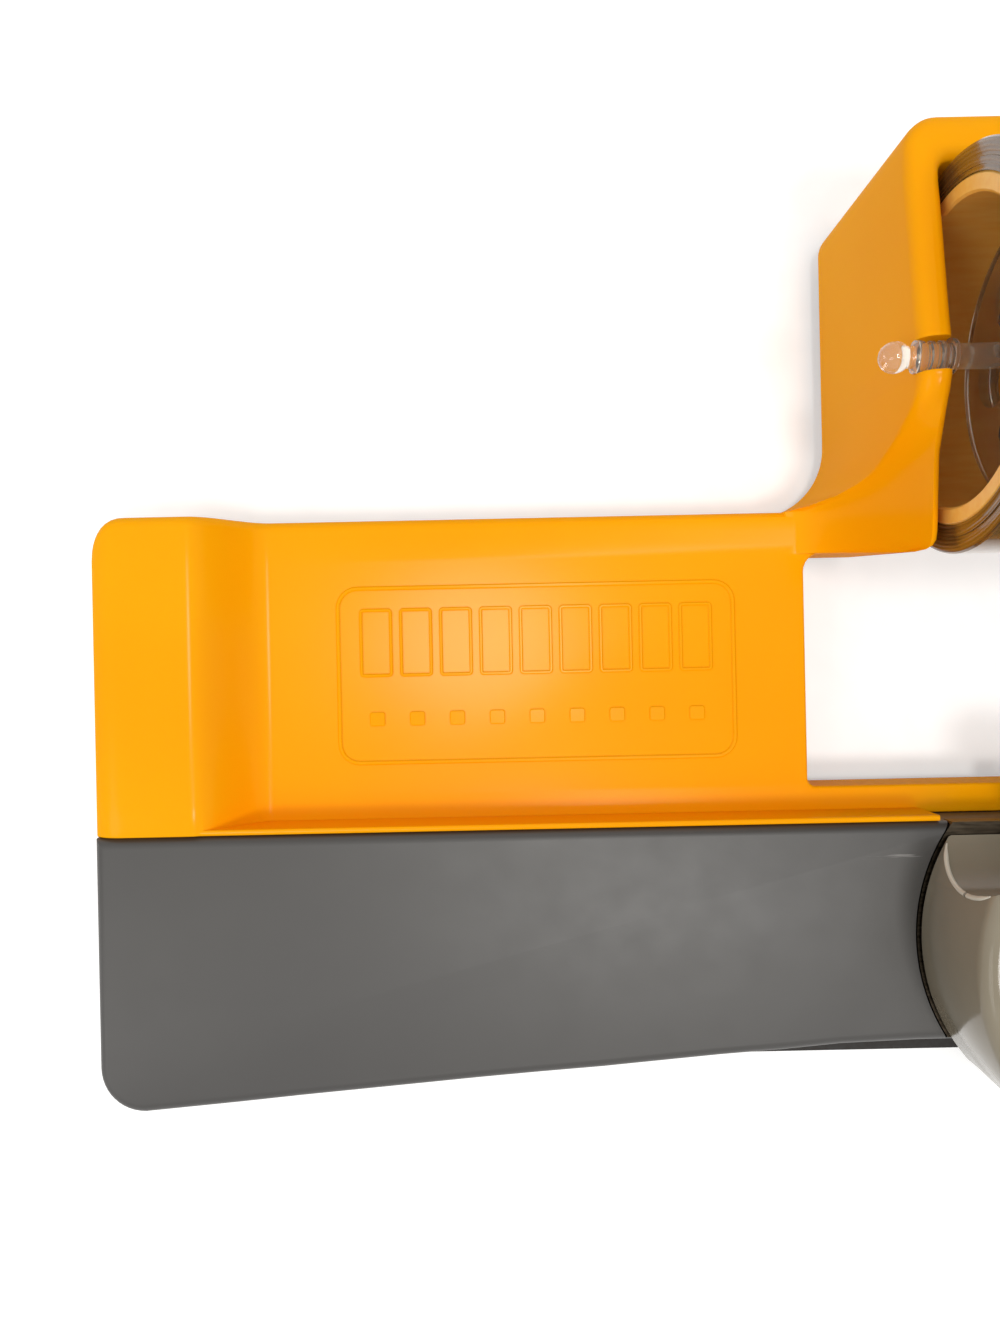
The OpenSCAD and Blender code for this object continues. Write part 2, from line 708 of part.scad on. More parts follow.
// Steel plate in the beam's top with the fixed edge, and the lugs of the trimming arm
module trim_anvil() {
  color("lightsteelblue") difference() {
    union() {
      translate([0, 0, bed_z]) linear_extrude(bed_t) anvil_outline();
      for (sx = [-1, 1]) {
        x = trim_x + sx * (arm_w / 2 - 0.35 + 1);
        translate([x - 0.65, 0, 0]) {
          translate([0, trim_y, trim_pivot_z]) rod_x(0, 1.3, knuckle_r - 0.4);
          block([0, beam_back - 1.4, bed_z], [1.3, trim_y + knuckle_r - 0.4, trim_pivot_z]);
          block([0, beam_back + 0.05, deck_h + 0.05],
                [1.3, trim_y + knuckle_r - 0.4, trim_pivot_z]);
        }
      }
    }
    block([slot_x - 0.6, beam_mid_front + 5, bed_z - 1], [slot_x + 0.6, beam_back - 4, beam_h + 1]);
    translate([0, trim_y, trim_pivot_z]) rod_x(trim_x - arm_w, trim_x + arm_w, 1);
    for (p = anvil_screws_at) {
      screw_boss(p, bed_z - 1, bed_t + 2, 1.05);
      screw_boss(p, bed_z + 0.9, bed_t, 1.75);
    }
  }
}

module anvil_screws() {
  color("silver") for (p = anvil_screws_at) flat_screw(p, beam_h - 0.15, 1.6, 0.85, 5);
}

module trim_pin() {
  color("silver") translate([0, trim_y, trim_pivot_z])
    rod_x(trim_x - arm_w / 2 - 1.8, trim_x + arm_w / 2 + 1.8, 1);
}

arm_z0 = beam_h + 1;
arm_z1 = arm_z0 + arm_t;
arm_front = beam_mid_front + 1.5;

module trim_arm() {
  half = arm_w / 2 - 0.35;
  color("dimgray") difference() {
    union() {
      translate([0, trim_y, trim_pivot_z]) rod_x(trim_x - half, trim_x + half, 2.6);
      block([trim_x - half, arm_front, arm_z0], [trim_x + half, trim_y, arm_z1]);
      translate([trim_x, arm_front, arm_z0]) cylinder(h = arm_t, r = half);
    }
    translate([0, trim_y, trim_pivot_z]) rod_x(trim_x - arm_w, trim_x + arm_w, 1 + bore_gap);
    // Flat on the arm's side that the blade is screwed to
    block([trim_x - arm_w, beam_mid_front + 5.6, arm_z0 - 1],
          [slot_x + blade_t / 2 + 0.02, beam_back - 4, arm_z1 + 1]);
    for (y = blade_screw_ys) translate([0, y, arm_z0 + arm_t / 2])
      rod_x(slot_x, slot_x + 4, 0.8);
    screw_boss([trim_x, arm_front], arm_z1 - 2.5, 4, 1.5);
  }
}

module trim_blade() {
  color("lightgray") difference() {
    translate([slot_x - blade_t / 2, 0, 0]) rotate([90, 0, 90]) linear_extrude(blade_t) polygon([
      [beam_mid_front + 6.6, arm_z1 - 0.2], [beam_mid_front + 6.6, arm_z0 - 3.4],
      [beam_back - 4.6, arm_z0 - 1.8], [beam_back - 4.6, arm_z1 - 0.2]
    ]);
    for (y = blade_screw_ys) translate([0, y, arm_z0 + arm_t / 2])
      rod_x(slot_x - 2, slot_x + 2, 1);
  }
}

module blade_screws() {
  color("silver") for (y = blade_screw_ys)
    translate([slot_x - blade_t / 2 - 0.02, y, arm_z0 + arm_t / 2]) difference() {
      union() {
        rod_x(-0.7, 0, 1.5);
        rod_x(-0.1, 3.8, 0.75);
      }
      block([-1, -2, -0.2], [-0.35, 2, 0.2]);
    }
}

module finger_knob() {
  color("orange") translate([trim_x, arm_front, 0]) {
    translate([0, 0, arm_z1 - 2.2]) cylinder(h = 3.5, r = 1.45);
    translate([0, 0, arm_z1 + 0.02]) cylinder(h = 2, r1 = 2.4, r2 = 3);
    translate([0, 0, arm_z1 + 2.02]) cylinder(h = 2.6, r = finger_r);
    translate([0, 0, arm_z1 + 4.62]) cylinder(h = 0.8, r1 = finger_r, r2 = finger_r - 0.8);
  }
}

base_beam();
deck();
bottom_cover();
cover_screws();
rubber_feet();
film_bed();
bed_screws();
register_pins();
hinge_pin();
head_body();
film_pad();
spring_seat();
press_knob();
ram();
ram_plate();
tape_knives();
punch_pins();
knob_screw();
return_spring();
axle();
tape_core();
tape_roll();
trim_anvil();
anvil_screws();
trim_pin();
trim_arm();
trim_blade();
blade_screws();
finger_knob();
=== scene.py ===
# %% [markdown]
# # A tape splicer for narrow cine film
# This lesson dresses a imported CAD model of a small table-top film splicer. The CAD gives every
# piece its place and its motion; here the moulded plastic, the smoked head, the tape roll and the
# steel get the shapes and finishes that the eye expects. All lengths are typed in millimetres.

# %% Load the frame
import math

import bmesh
import bpy
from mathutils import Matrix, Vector


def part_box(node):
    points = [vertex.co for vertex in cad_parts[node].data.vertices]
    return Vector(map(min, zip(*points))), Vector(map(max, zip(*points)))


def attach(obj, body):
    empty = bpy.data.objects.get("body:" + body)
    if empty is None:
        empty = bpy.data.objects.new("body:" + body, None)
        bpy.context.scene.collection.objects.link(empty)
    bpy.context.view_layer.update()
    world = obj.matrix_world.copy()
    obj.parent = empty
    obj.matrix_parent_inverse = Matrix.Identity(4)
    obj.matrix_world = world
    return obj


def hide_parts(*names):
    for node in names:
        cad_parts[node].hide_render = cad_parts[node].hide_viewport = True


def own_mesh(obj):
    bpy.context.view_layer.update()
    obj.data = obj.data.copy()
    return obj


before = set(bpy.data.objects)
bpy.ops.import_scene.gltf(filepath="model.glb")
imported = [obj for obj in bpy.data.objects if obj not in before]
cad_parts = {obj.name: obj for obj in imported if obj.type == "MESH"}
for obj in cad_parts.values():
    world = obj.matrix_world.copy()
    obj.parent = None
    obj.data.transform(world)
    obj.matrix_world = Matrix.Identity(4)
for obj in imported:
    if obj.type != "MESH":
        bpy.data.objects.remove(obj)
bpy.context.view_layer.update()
MM = 0.001

# %% [markdown]
# ## The sizes of the real thing
# The frame's origin is the middle of the footprint on the table. A few sizes are read from the
# CAD nodes' boxes, so that the dressed pieces sit exactly where the solids are. The others are
# those of the CAD model: the window, the cheeks of the roll well, the axle and the hinge.

# %% Read the sizes
def box_mm(node):
    low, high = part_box(node)
    return low / MM, high / MM


BEAM_LOW, BEAM_HIGH = box_mm("base_beam")
HALF_L, BEAM_BACK, BEAM_H = BEAM_HIGH
BEAM_FRONT, COVER_Z = BEAM_LOW.y, BEAM_LOW.z
BEAM_MID_FRONT = BEAM_FRONT + 4.9
BEAM_CORNER = 4.7
DECK_H = 8.8
BAR_BACK = BEAM_BACK + 3.2
WINDOW_HALF = 29.1
WINDOW_BACK = BAR_BACK + 25.7
WING_BACK = BEAM_BACK + 33.6
WELL_BACK_OUT, CHEEK_H = box_mm("deck")[1].yz
WELL_BACK = WELL_BACK_OUT - 4.5
CHEEK_IN, CHEEK_OUT = 22.2, 25.0
HEAD_Y = BEAM_BACK - 11.9
FILM_Y = BEAM_BACK - 13.4
HINGE_Y, HINGE_Z = BEAM_BACK + 2.0, BEAM_H + 6.0
AXLE_Y, AXLE_Z = WINDOW_BACK + 15.2, 29.4
TRIM_X = 32.0
print("beam back", round(BEAM_BACK, 2), "window back", round(WINDOW_BACK, 2), "axle", round(AXLE_Y, 2))

# %% [markdown]
# ## Colour and node helpers
# Colours are picked as sRGB hex values, because that is how a colour picker shows them, and one
# function turns them into the linear values that the shader works with. One small function adds a
# node, sets it and links it, which keeps each material readable. Another hands a material's
# patterns to its shader, and sets what is the same all over on the shader itself.

# %% Colour and node helpers
def linear(tone):
    """The shader's linear colour for an sRGB hex value, or a plain grey for a number."""
    if not isinstance(tone, str):
        return (tone, tone, tone, 1.0)
    parts = [int(tone[i:i + 2], 16) / 255 for i in (1, 3, 5)]
    return tuple(v / 12.92 if v <= 0.04045 else ((v + 0.055) / 1.055) ** 2.4 for v in parts) + (1.0,)


def per_mm(size_mm):
    """The noise scale at which one feature is about size_mm across."""
    return 1.0 / (size_mm * MM)


def link(owner, source, target):
    """Links a socket, or a node's first output, to an input."""
    socket = source if isinstance(source, bpy.types.NodeSocket) else source.outputs[0]
    owner.node_tree.links.new(socket, target)


def add_node(owner, kind, links=None, stops=(), **settings):
    """Adds a node to a material or the world.

    links says what feeds each input. A setting named in_... goes to the input of that name or
    number, and any other one to the node itself. stops are those of a colour ramp.
    """
    node = owner.node_tree.nodes.new("ShaderNode" + kind)
    for key, value in settings.items():
        if key.startswith("in_"):
            name = key[3:].replace("_", " ")
            node.inputs[int(name) if name.isdigit() else name].default_value = value
        else:
            setattr(node, key, value)
    for target, source in (links or {}).items():
        link(owner, source, node.inputs[target])
    for i, (at, tone) in enumerate(stops):
        node.color_ramp.elements[i].position = at
        node.color_ramp.elements[i].color = linear(tone)
    return node


def new_material(name):
    material = bpy.data.materials.new(name)
    material.use_nodes = True
    return material, add_node(material, "TexCoord").outputs["Object"]


def shader_of(material):
    return material.node_tree.nodes["Principled BSDF"]


def set_shader(material, colour, roughness=None, normal=None, **constants):
    """Links patterns to colour, roughness and normal, and sets what is the same all over."""
    inputs = shader_of(material).inputs
    for source, name in ((colour, "Base Color"), (roughness, "Roughness"), (normal, "Normal")):
        if source is not None:
            link(material, source, inputs[name])
    for name, value in constants.items():
        inputs[name.replace("_", " ")].default_value = value
    print("made", material.name)
    return material

# %% [markdown]
# ## Glossy orange moulding
# The deck is injection-moulded ABS from a polished tool. Its gloss is high but a little wavy, as
# thin walls sink while they cool, and years of hands leave faint rub marks that change the gloss.
# A little light goes into the plastic and comes out near by, which keeps its shadows warm.

# %% Orange ABS
def orange_abs(name):
    material, place = new_material(name)
    blotch = add_node(material, "TexNoise", {"Vector": place}, in_Scale=per_mm(45), in_Detail=3.0)
    tone = add_node(material, "ValToRGB", {"Fac": blotch}, stops=[(0.35, "#FBA203"), (0.65, "#FEAB06")])
    rub = add_node(material, "TexNoise", {"Vector": place}, in_Scale=per_mm(6), in_Detail=6.0)
    gloss = add_node(material, "ValToRGB", {"Fac": rub}, stops=[(0.3, 0.20), (0.7, 0.30)])
    wave = add_node(material, "TexNoise", {"Vector": place}, in_Scale=per_mm(14), in_Detail=1.0)
    fine = add_node(material, "TexNoise", {"Vector": place}, in_Scale=per_mm(0.5), in_Detail=2.0)
    broad = add_node(material, "Bump", {"Height": wave}, in_Strength=0.25, in_Distance=0.06 * MM)
    skin = add_node(material, "Bump", {"Height": fine, "Normal": broad},
                    in_Strength=0.12, in_Distance=0.01 * MM)
    return set_shader(material, tone, gloss, skin, IOR=1.5, Specular_IOR_Level=0.0, Coat_Weight=0.14,
                      Coat_Roughness=0.17, Subsurface_Weight=0.12, Subsurface_Radius=(1.0, 0.4, 0.1),
                      Subsurface_Scale=1.2 * MM)


ORANGE = orange_abs("orange_abs_polished_moulding")

# %% [markdown]
# ## Satin grey moulding
# The beam is a mid grey plastic with a satin skin. Film and fingers have slid over it, so it
# carries a few long thin scratches, mostly along its length, and slightly duller patches.

# %% Grey ABS with scratches
def grey_abs(name):
    material, place = new_material(name)
    blotch = add_node(material, "TexNoise", {"Vector": place}, in_Scale=per_mm(30), in_Detail=4.0)
    tone = add_node(material, "ValToRGB", {"Fac": blotch}, stops=[(0.3, "#393735"), (0.7, "#403E3B")])
    lines = add_node(material, "Mapping", {"Vector": place}, in_Rotation=(0, 0, 0.35),
                     in_Scale=(1.0, 14.0, 1.0))
    streak = add_node(material, "TexNoise", {"Vector": lines}, in_Scale=per_mm(22), in_Detail=5.0)
    scratch = add_node(material, "ValToRGB", {"Fac": streak}, stops=[(0.70, 0.0), (0.74, 1.0)])
    area = add_node(material, "TexNoise", {"Vector": place}, in_Scale=per_mm(26), in_Detail=1.0)
    where = add_node(material, "ValToRGB", {"Fac": area}, stops=[(0.5, 0.0), (0.62, 1.0)])
    both = add_node(material, "Math", {0: scratch, 1: where}, operation="MULTIPLY")
    mixed = add_node(material, "Mix", {"Factor": both, 6: tone}, data_type="RGBA", in_7=linear("#A9A6A2"))
    rub = add_node(material, "TexNoise", {"Vector": place}, in_Scale=per_mm(5), in_Detail=6.0)
    gloss = add_node(material, "ValToRGB", {"Fac": rub}, stops=[(0.3, 0.44), (0.7, 0.49)])
    fine = add_node(material, "TexNoise", {"Vector": place}, in_Scale=per_mm(0.4), in_Detail=2.0)
    skin = add_node(material, "Bump", {"Height": fine}, in_Strength=0.2, in_Distance=0.02 * MM)
    return set_shader(material, mixed.outputs[2], gloss, skin, Specular_IOR_Level=0.62)


GREY = grey_abs("grey_abs_satin_moulding")

# %% [markdown]
# ## Smoked and clear plastics
# The head is smoked acrylic, tinted a little green and brown, and glossy. A thin bead along the
# hollow's rims is coloured a pale cream as a painted highlight, for the light that the rims catch.
# The axle is clear polystyrene, which shows bright rims where it bends the light.

# %% Smoked acrylic and clear polystyrene
def clear_plastic(name, dark, light, transmission, roughness, haze, gloss_level=0.5):
    material, place = new_material(name)
    cloud = add_node(material, "TexNoise", {"Vector": place}, in_Scale=per_mm(12), in_Detail=3.0)
    tone = add_node(material, "ValToRGB", {"Fac": cloud}, stops=[(0.3, dark), (0.7, light)])
    rub = add_node(material, "TexNoise", {"Vector": place}, in_Scale=per_mm(3), in_Detail=5.0)
    gloss = add_node(material, "ValToRGB", {"Fac": rub},
                     stops=[(0.3, roughness), (0.75, roughness + haze)])
    wave = add_node(material, "TexNoise", {"Vector": place}, in_Scale=per_mm(5), in_Detail=1.0)
    skin = add_node(material, "Bump", {"Height": wave}, in_Strength=0.2, in_Distance=0.03 * MM)
    return set_shader(material, tone, gloss, skin, IOR=1.49, Transmission_Weight=transmission,
                      Specular_IOR_Level=gloss_level)


SMOKED = clear_plastic("smoked_acrylic_moulded", "#8B8270", "#968E7D", 0.05, 0.10, 0.10, 0.18)
# The rims' bead is a pale cream: a painted highlight, not the colour of the acrylic.
RIM_HIGHLIGHT_PAINT = clear_plastic("smoked_acrylic_painted_rim_highlight", "#D8D2C0", "#EAE5D6", 0.10, 0.16, 0.05)
CLEAR = clear_plastic("clear_polystyrene_moulded", "#E6E0D4", "#F4F1EA", 0.92, 0.05, 0.06)

# %% [markdown]
# ## Tape and core
# Splicing tape is clear polyester, which looks amber to brown when hundreds of layers lie on each
# other. The edge of the roll shows the layers as fine rings about its axis, which runs along X.
# Real layers are too fine to show, so the rings are drawn 0.35 mm apart. The core is waxed card,
# whose fibres run along the tube.

# %% Wound tape and core card
RING_PITCH = 0.35


def wound_tape(name):
    material, place = new_material(name)
    moved = add_node(material, "Mapping", {"Vector": place}, in_Scale=(0.0, 1.0, 1.0),
                     in_Location=(0.0, -AXLE_Y * MM, -AXLE_Z * MM))
    radius = add_node(material, "VectorMath", {0: moved}, operation="LENGTH")
    turns = add_node(material, "Math", {0: radius.outputs["Value"]}, operation="MULTIPLY",
                     in_1=2 * math.pi / (RING_PITCH * MM))
    rings = add_node(material, "Math", {0: turns}, operation="SINE")
    cloud = add_node(material, "TexNoise", {"Vector": place}, in_Scale=per_mm(7), in_Detail=4.0)
    mixed = add_node(material, "Math", {0: rings, 1: cloud, 2: cloud}, operation="MULTIPLY_ADD")
    tone = add_node(material, "ValToRGB", {"Fac": mixed}, stops=[(0.25, "#674A2A"), (0.75, "#8F6938")])
    bump = add_node(material, "Bump", {"Height": rings}, in_Strength=0.35, in_Distance=0.03 * MM)
    return set_shader(material, tone, None, bump, Roughness=0.16, Transmission_Weight=0.35, IOR=1.5,
                      Coat_Weight=0.5, Coat_Roughness=0.06)


def waxed_card(name):
    material, place = new_material(name)
    fibre = add_node(material, "Mapping", {"Vector": place}, in_Scale=(1.0, 5.0, 5.0))
    noise = add_node(material, "TexNoise", {"Vector": fibre}, in_Scale=per_mm(4), in_Detail=6.0)
    tone = add_node(material, "ValToRGB", {"Fac": noise}, stops=[(0.25, "#F2B24A"), (0.75, "#F8C564")])
    bump = add_node(material, "Bump", {"Height": noise}, in_Strength=0.3, in_Distance=0.05 * MM)
    return set_shader(material, tone, None, bump, Roughness=0.32)


TAPE = wound_tape("polyester_tape_wound")
CORE = waxed_card("amber_card_core_waxed")

# %% [markdown]
# ## Steel, rubber and the black cover
# The bed and the blades are ground steel: the grinding leaves fine parallel lines, so the noise is
# stretched along one direction. Screws and pins are turned and plated. Rubber is matt and dusty.

# %% Metals and rubber
def steel(name, dark, light, rough, stretch, grain_mm):
    material, place = new_material(name)
    lines = add_node(material, "Mapping", {"Vector": place}, in_Scale=stretch)
    grind = add_node(material, "TexNoise", {"Vector": lines}, in_Scale=per_mm(grain_mm), in_Detail=4.0)
    tone = add_node(material, "ValToRGB", {"Fac": grind}, stops=[(0.3, dark), (0.7, light)])
    gloss = add_node(material, "ValToRGB", {"Fac": grind}, stops=[(0.3, rough), (0.7, rough + 0.14)])
    bump = add_node(material, "Bump", {"Height": grind}, in_Strength=0.25, in_Distance=0.01 * MM)
    return set_shader(material, tone, gloss, bump, Metallic=1.0)


def dull_black(name, dark, light, rough, grain_mm):
    material, place = new_material(name)
    noise = add_node(material, "TexNoise", {"Vector": place}, in_Scale=per_mm(grain_mm), in_Detail=5.0)
    tone = add_node(material, "ValToRGB", {"Fac": noise}, stops=[(0.3, dark), (0.7, light)])
    gloss = add_node(material, "ValToRGB", {"Fac": noise}, stops=[(0.3, rough), (0.7, rough + 0.15)])
    bump = add_node(material, "Bump", {"Height": noise}, in_Strength=0.4, in_Distance=0.03 * MM)
    return set_shader(material, tone, gloss, bump)


BED = steel("steel_blackened_ground", "#332D25", "#4A4237", 0.26, (1.0, 9.0, 9.0), 2.4)
GROUND = steel("steel_surface_ground", "#8A8784", "#B5B2AE", 0.24, (1.0, 9.0, 9.0), 2.4)
BLADE = steel("blade_steel_honed", "#A9A8A6", "#D4D3D1", 0.14, (6.0, 1.0, 6.0), 1.8)
PLATED = steel("steel_turned_nickel_plated", "#9C9A95", "#C9C7C2", 0.18, (3.0, 3.0, 1.0), 1.2)
WIRE = steel("spring_wire_drawn", "#77756F", "#A5A39C", 0.26, (1.0, 1.0, 5.0), 0.8)
RUBBER = dull_black("rubber_moulded_matt", "#17161A", "#26252A", 0.72, 0.8)
PAD = dull_black("rubber_pad_cut_sheet", "#1B1512", "#2C2420", 0.60, 0.6)
COVER = dull_black("black_abs_textured_cover", "#14100D", "#1F1915", 0.60, 0.5)

# %% [markdown]
# ## Modelling helpers
# New pieces start as primitives and are shaped in edit mode. Operators act on whatever is
# selected, so each helper clears the selection first and picks faces, edges or points by place.
# A shape that changes along its way, such as the wall of the roll well, is a loft instead: a skin
# over rings of points.

# %% Modelling helpers
def deselect_all():
    for piece in bpy.context.selected_objects:
        piece.select_set(False)


def select_only(piece):
    deselect_all()
    piece.select_set(True)
    bpy.context.view_layer.objects.active = piece


def new_primitive(name):
    """Names the primitive just added, and puts its place into its mesh."""
    piece = bpy.context.object
    piece.name = piece.data.name = name
    select_only(piece)
    bpy.ops.object.transform_apply(location=True, rotation=True, scale=True)
    return piece


def cylinder(name, middle, length, radius, vertices, **turned):
    deselect_all()
    bpy.ops.mesh.primitive_cylinder_add(vertices=vertices, radius=radius * MM, depth=length * MM,
                                        location=[v * MM for v in middle], **turned)
    return new_primitive(name)


def tube_along_x(name, x0, x1, y, z, radius, vertices=96):
    return cylinder(name, ((x0 + x1) / 2, y, z), x1 - x0, radius, vertices, rotation=(0, math.pi / 2, 0))


def disc(name, x, y, z0, z1, radius, vertices=128):
    return cylinder(name, (x, y, (z0 + z1) / 2), z1 - z0, radius, vertices)


def block(name, low, high):
    deselect_all()
    bpy.ops.mesh.primitive_cube_add(size=1.0, location=[(a + b) / 2 * MM for a, b in zip(low, high)])
    bpy.context.object.scale = [(b - a) * MM for a, b in zip(low, high)]
    return new_primitive(name)


def face_outwards(piece, merge=False):
    """Turns all faces outwards, once the points that lie on each other are merged."""
    select_only(piece)
    bpy.ops.object.mode_set(mode="EDIT")
    bpy.ops.mesh.select_all(action="SELECT")
    if merge:
        bpy.ops.mesh.remove_doubles(threshold=0.001 * MM)
    bpy.ops.mesh.normals_make_consistent(inside=False)
    bpy.ops.object.mode_set(mode="OBJECT")
    return piece


def arc(x, y, radius, start, end, steps):
    """Points round (x, y) from one angle to another, in degrees."""
    angles = [math.radians(start + (end - start) * i / steps) for i in range(steps + 1)]
    return [(x + radius * math.cos(a), y + radius * math.sin(a)) for a in angles]


def circle(x, y, radius, steps):
    return arc(x, y, radius, 0, 360, steps)[:-1]


def outline_solid(name, points, z0, z1):
    """A prism: a filled circle whose points go to the (x, y) outline, pushed up."""
    deselect_all()
    bpy.ops.mesh.primitive_circle_add(vertices=len(points), radius=1.0, fill_type="NGON")
    piece = new_primitive(name)
    for vertex, (x, y) in zip(piece.data.vertices, points):
        vertex.co = (x * MM, y * MM, z0 * MM)
    bpy.ops.object.mode_set(mode="EDIT")
    bpy.ops.mesh.select_all(action="SELECT")
    bpy.ops.mesh.extrude_region_move(TRANSFORM_OT_translate={"value": (0, 0, (z1 - z0) * MM)})
    bpy.ops.object.mode_set(mode="OBJECT")
    return face_outwards(piece)


def in_scene(name, mesh):
    piece = bpy.data.objects.new(name, mesh)
    bpy.context.scene.collection.objects.link(piece)
    return piece


def loft(name, rings, closed_loop=False):
    """A skin over rings of (x, y, z) points, all with the same number of points.

    Its two ends are closed by fans of triangles. In a closed loop the last ring meets the first.
    """
    if closed_loop:
        rings = rings + rings[:1]
    count = len(rings[0])
    last = (len(rings) - 1) * count
    faces = []
    for base in range(0, last, count):
        for i in range(count):
            k = (i + 1) % count
            faces.append((base + i, base + k, base + count + k, base + count + i))
    if not closed_loop:
        for i in range(count - 2):
            faces.append((count - 1, i + 1, i))
            faces.append((last + count - 1, last + i, last + i + 1))
    mesh = bpy.data.meshes.new(name)
    mesh.from_pydata([[v * MM for v in point] for ring in rings for point in ring], [], faces)
    return face_outwards(in_scene(name, mesh), merge=closed_loop)


def cut(piece, tool, operation="DIFFERENCE"):
    modifier = piece.modifiers.new("cut", "BOOLEAN")
    modifier.object = tool
    modifier.operation = operation
    modifier.solver = "EXACT"
    select_only(piece)
    bpy.ops.object.modifier_apply(modifier=modifier.name)
    bpy.data.objects.remove(tool, do_unlink=True)


def join(*pieces):
    select_only(pieces[0])
    for piece in pieces[1:]:
        piece.select_set(True)
    bpy.ops.object.join()
    return pieces[0]

# %% [markdown]
# ## Rounding and finishing
# No moulded edge is sharp. The edges to round are picked by where their ends lie. A finished
# piece gets its material, its smooth shading, the body that it moves with, and the CAD nodes that
# it stands for.

# %% Rounding and finishing
def near(a, b, tolerance=0.02):
    return abs(a - b) < tolerance


def upright(a, b):
    return near(a.x, b.x) and near(a.y, b.y)


def sharp(edge, degrees=30):
    return len(edge.link_faces) == 2 and edge.calc_face_angle(0.0) > math.radians(degrees)


def bevel_edges(piece, pick, width, segments=4):
    """Rounds the edges for which pick(a, b, edge) is true, a and b being its ends in millimetres."""
    select_only(piece)
    bpy.ops.object.mode_set(mode="EDIT")
    bpy.ops.mesh.select_all(action="DESELECT")
    bpy.ops.mesh.select_mode(type="EDGE")
    mesh = bmesh.from_edit_mesh(piece.data)
    count = 0
    for edge in mesh.edges:
        a, b = (v.co / MM for v in edge.verts)
        chosen = pick(a, b, edge)
        edge.select_set(chosen)
        count += chosen
    bmesh.update_edit_mesh(piece.data)
    if count:
        bpy.ops.mesh.bevel(offset=width * MM, segments=segments, profile=0.5, affect="EDGES",
                           clamp_overlap=True)
    bpy.ops.object.mode_set(mode="OBJECT")
    return count


def round_rim(piece, z, width, segments):
    """Rounds the sharp edges that lie at the height z."""
    bevel_edges(piece, lambda a, b, e: near(a.z, z) and near(b.z, z) and sharp(e), width, segments)


def finish_piece(piece, material, body, slot, *nodes, degrees=32):
    piece.data.materials.clear()
    piece.data.materials.append(material)
    select_only(piece)
    bpy.ops.object.shade_smooth_by_angle(angle=math.radians(degrees))
    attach(piece, body)
    if nodes:
        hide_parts(*nodes)
    print(piece.name, "faces:", len(piece.data.polygons))

# %% [markdown]
# ## The grey beam
# The beam's front edge is a shallow arc that bows in towards the middle. Its outline is laid as
# points, pushed up to the beam's height, and its top edges are rounded as the moulding's are. The
# round seat of the bed, the seat of the trimming anvil, the chute for the cut tape and the slot
# for the blade are cut out afterwards, so that their edges stay crisp.

# %% Grey beam
# The front edge from the middle to the end: how far out along the beam, and how far in from its ends
FRONT_EDGE = [(0, 5.9), (12, 5.9), (20, 5.85), (28, 5.6), (34, 5.1), (40.5, 4.7), (46.8, 4.2), (53, 3.7),
              (59.3, 3.3), (65.6, 2.85), (71.9, 2.35), (78.2, 1.85), (84.5, 1.35), (90.8, 0.8), (97, 0.3)]
SEAT_R = 20.15
ANVIL_HALF = 5.95
CHUTE_HALF = 12.7
BLADE_SLOT = (28.3, 29.9)


def beam_outline():
    x, y = HALF_L - BEAM_CORNER, BEAM_FRONT + BEAM_CORNER
    right = [(out, BEAM_FRONT + inset) for out, inset in FRONT_EDGE]
    left = [(-out, front) for out, front in reversed(right[1:])]
    return ([(-HALF_L, BEAM_BACK)] + arc(-x, y, BEAM_CORNER, 180, 270, 12) + left + right
            + arc(x, y, BEAM_CORNER, 270, 360, 12) + [(HALF_L, BEAM_BACK)])


beam = outline_solid("beam_moulding", beam_outline(), COVER_Z, BEAM_H)
round_rim(beam, BEAM_H, 1.1, 5)
seat = disc("bed_seat", 0, HEAD_Y, BEAM_H - 2, BEAM_H + 2, SEAT_R, 192)
cut(seat, block("seat_front", (-30, HEAD_Y - 30, 0), (30, BEAM_MID_FRONT + 1.25, 30)))
cut(beam, seat)
cut(beam, block("anvil_seat", (TRIM_X - ANVIL_HALF, BEAM_MID_FRONT + 2.45, BEAM_H - 2),
                (TRIM_X + ANVIL_HALF, BEAM_BACK + 0.15, BEAM_H + 1)))
cut(beam, block("chip_chute", (-CHUTE_HALF, FILM_Y - 6, COVER_Z + 1.4), (CHUTE_HALF, FILM_Y + 6, BEAM_H)))
cut(beam, block("blade_slot", (BLADE_SLOT[0], BEAM_MID_FRONT + 4.4, COVER_Z + 3),
                (BLADE_SLOT[1], BEAM_BACK - 3.4, BEAM_H)))
finish_piece(beam, GREY, "base", "grey_plastic", "base_beam")

# %% [markdown]
# ## The orange deck: wings, bar and window
# The low deck is one skin around the window. A plan of cells is laid out first, with narrow cells
# where an edge is round and where the end stop curves down to the wing, and the cells of the
# window are left out. The points are laid at the height of the moulding, with a second sheet
# below them, and the open rim between the two is closed. A bevel would fail on such narrow cells.

# %% Deck plate
STOP_W = 10.0
SLOPE_W = 7.5
END_R, END_DROP = 3.0, 1.1
CORNER_R = 3.4
EDGE_R = 1.2
WELL_CELLS = CHEEK_IN + 0.4
BAR_ROW = 3


def wing_height(x):
    d = x + HALF_L
    if d < END_R:
        return BEAM_H - END_DROP * (1 - d / END_R) ** 2.4
    if d < STOP_W:
        return BEAM_H
    if d < STOP_W + SLOPE_W:
        return DECK_H + (BEAM_H - DECK_H) * (1 + math.cos(math.pi * (d - STOP_W) / SLOPE_W)) / 2
    return DECK_H


def wing_back_at(x):
    d = x + HALF_L
    if d >= CORNER_R:
        return WING_BACK
    return WING_BACK - CORNER_R + math.sqrt(CORNER_R ** 2 - (CORNER_R - d) ** 2)


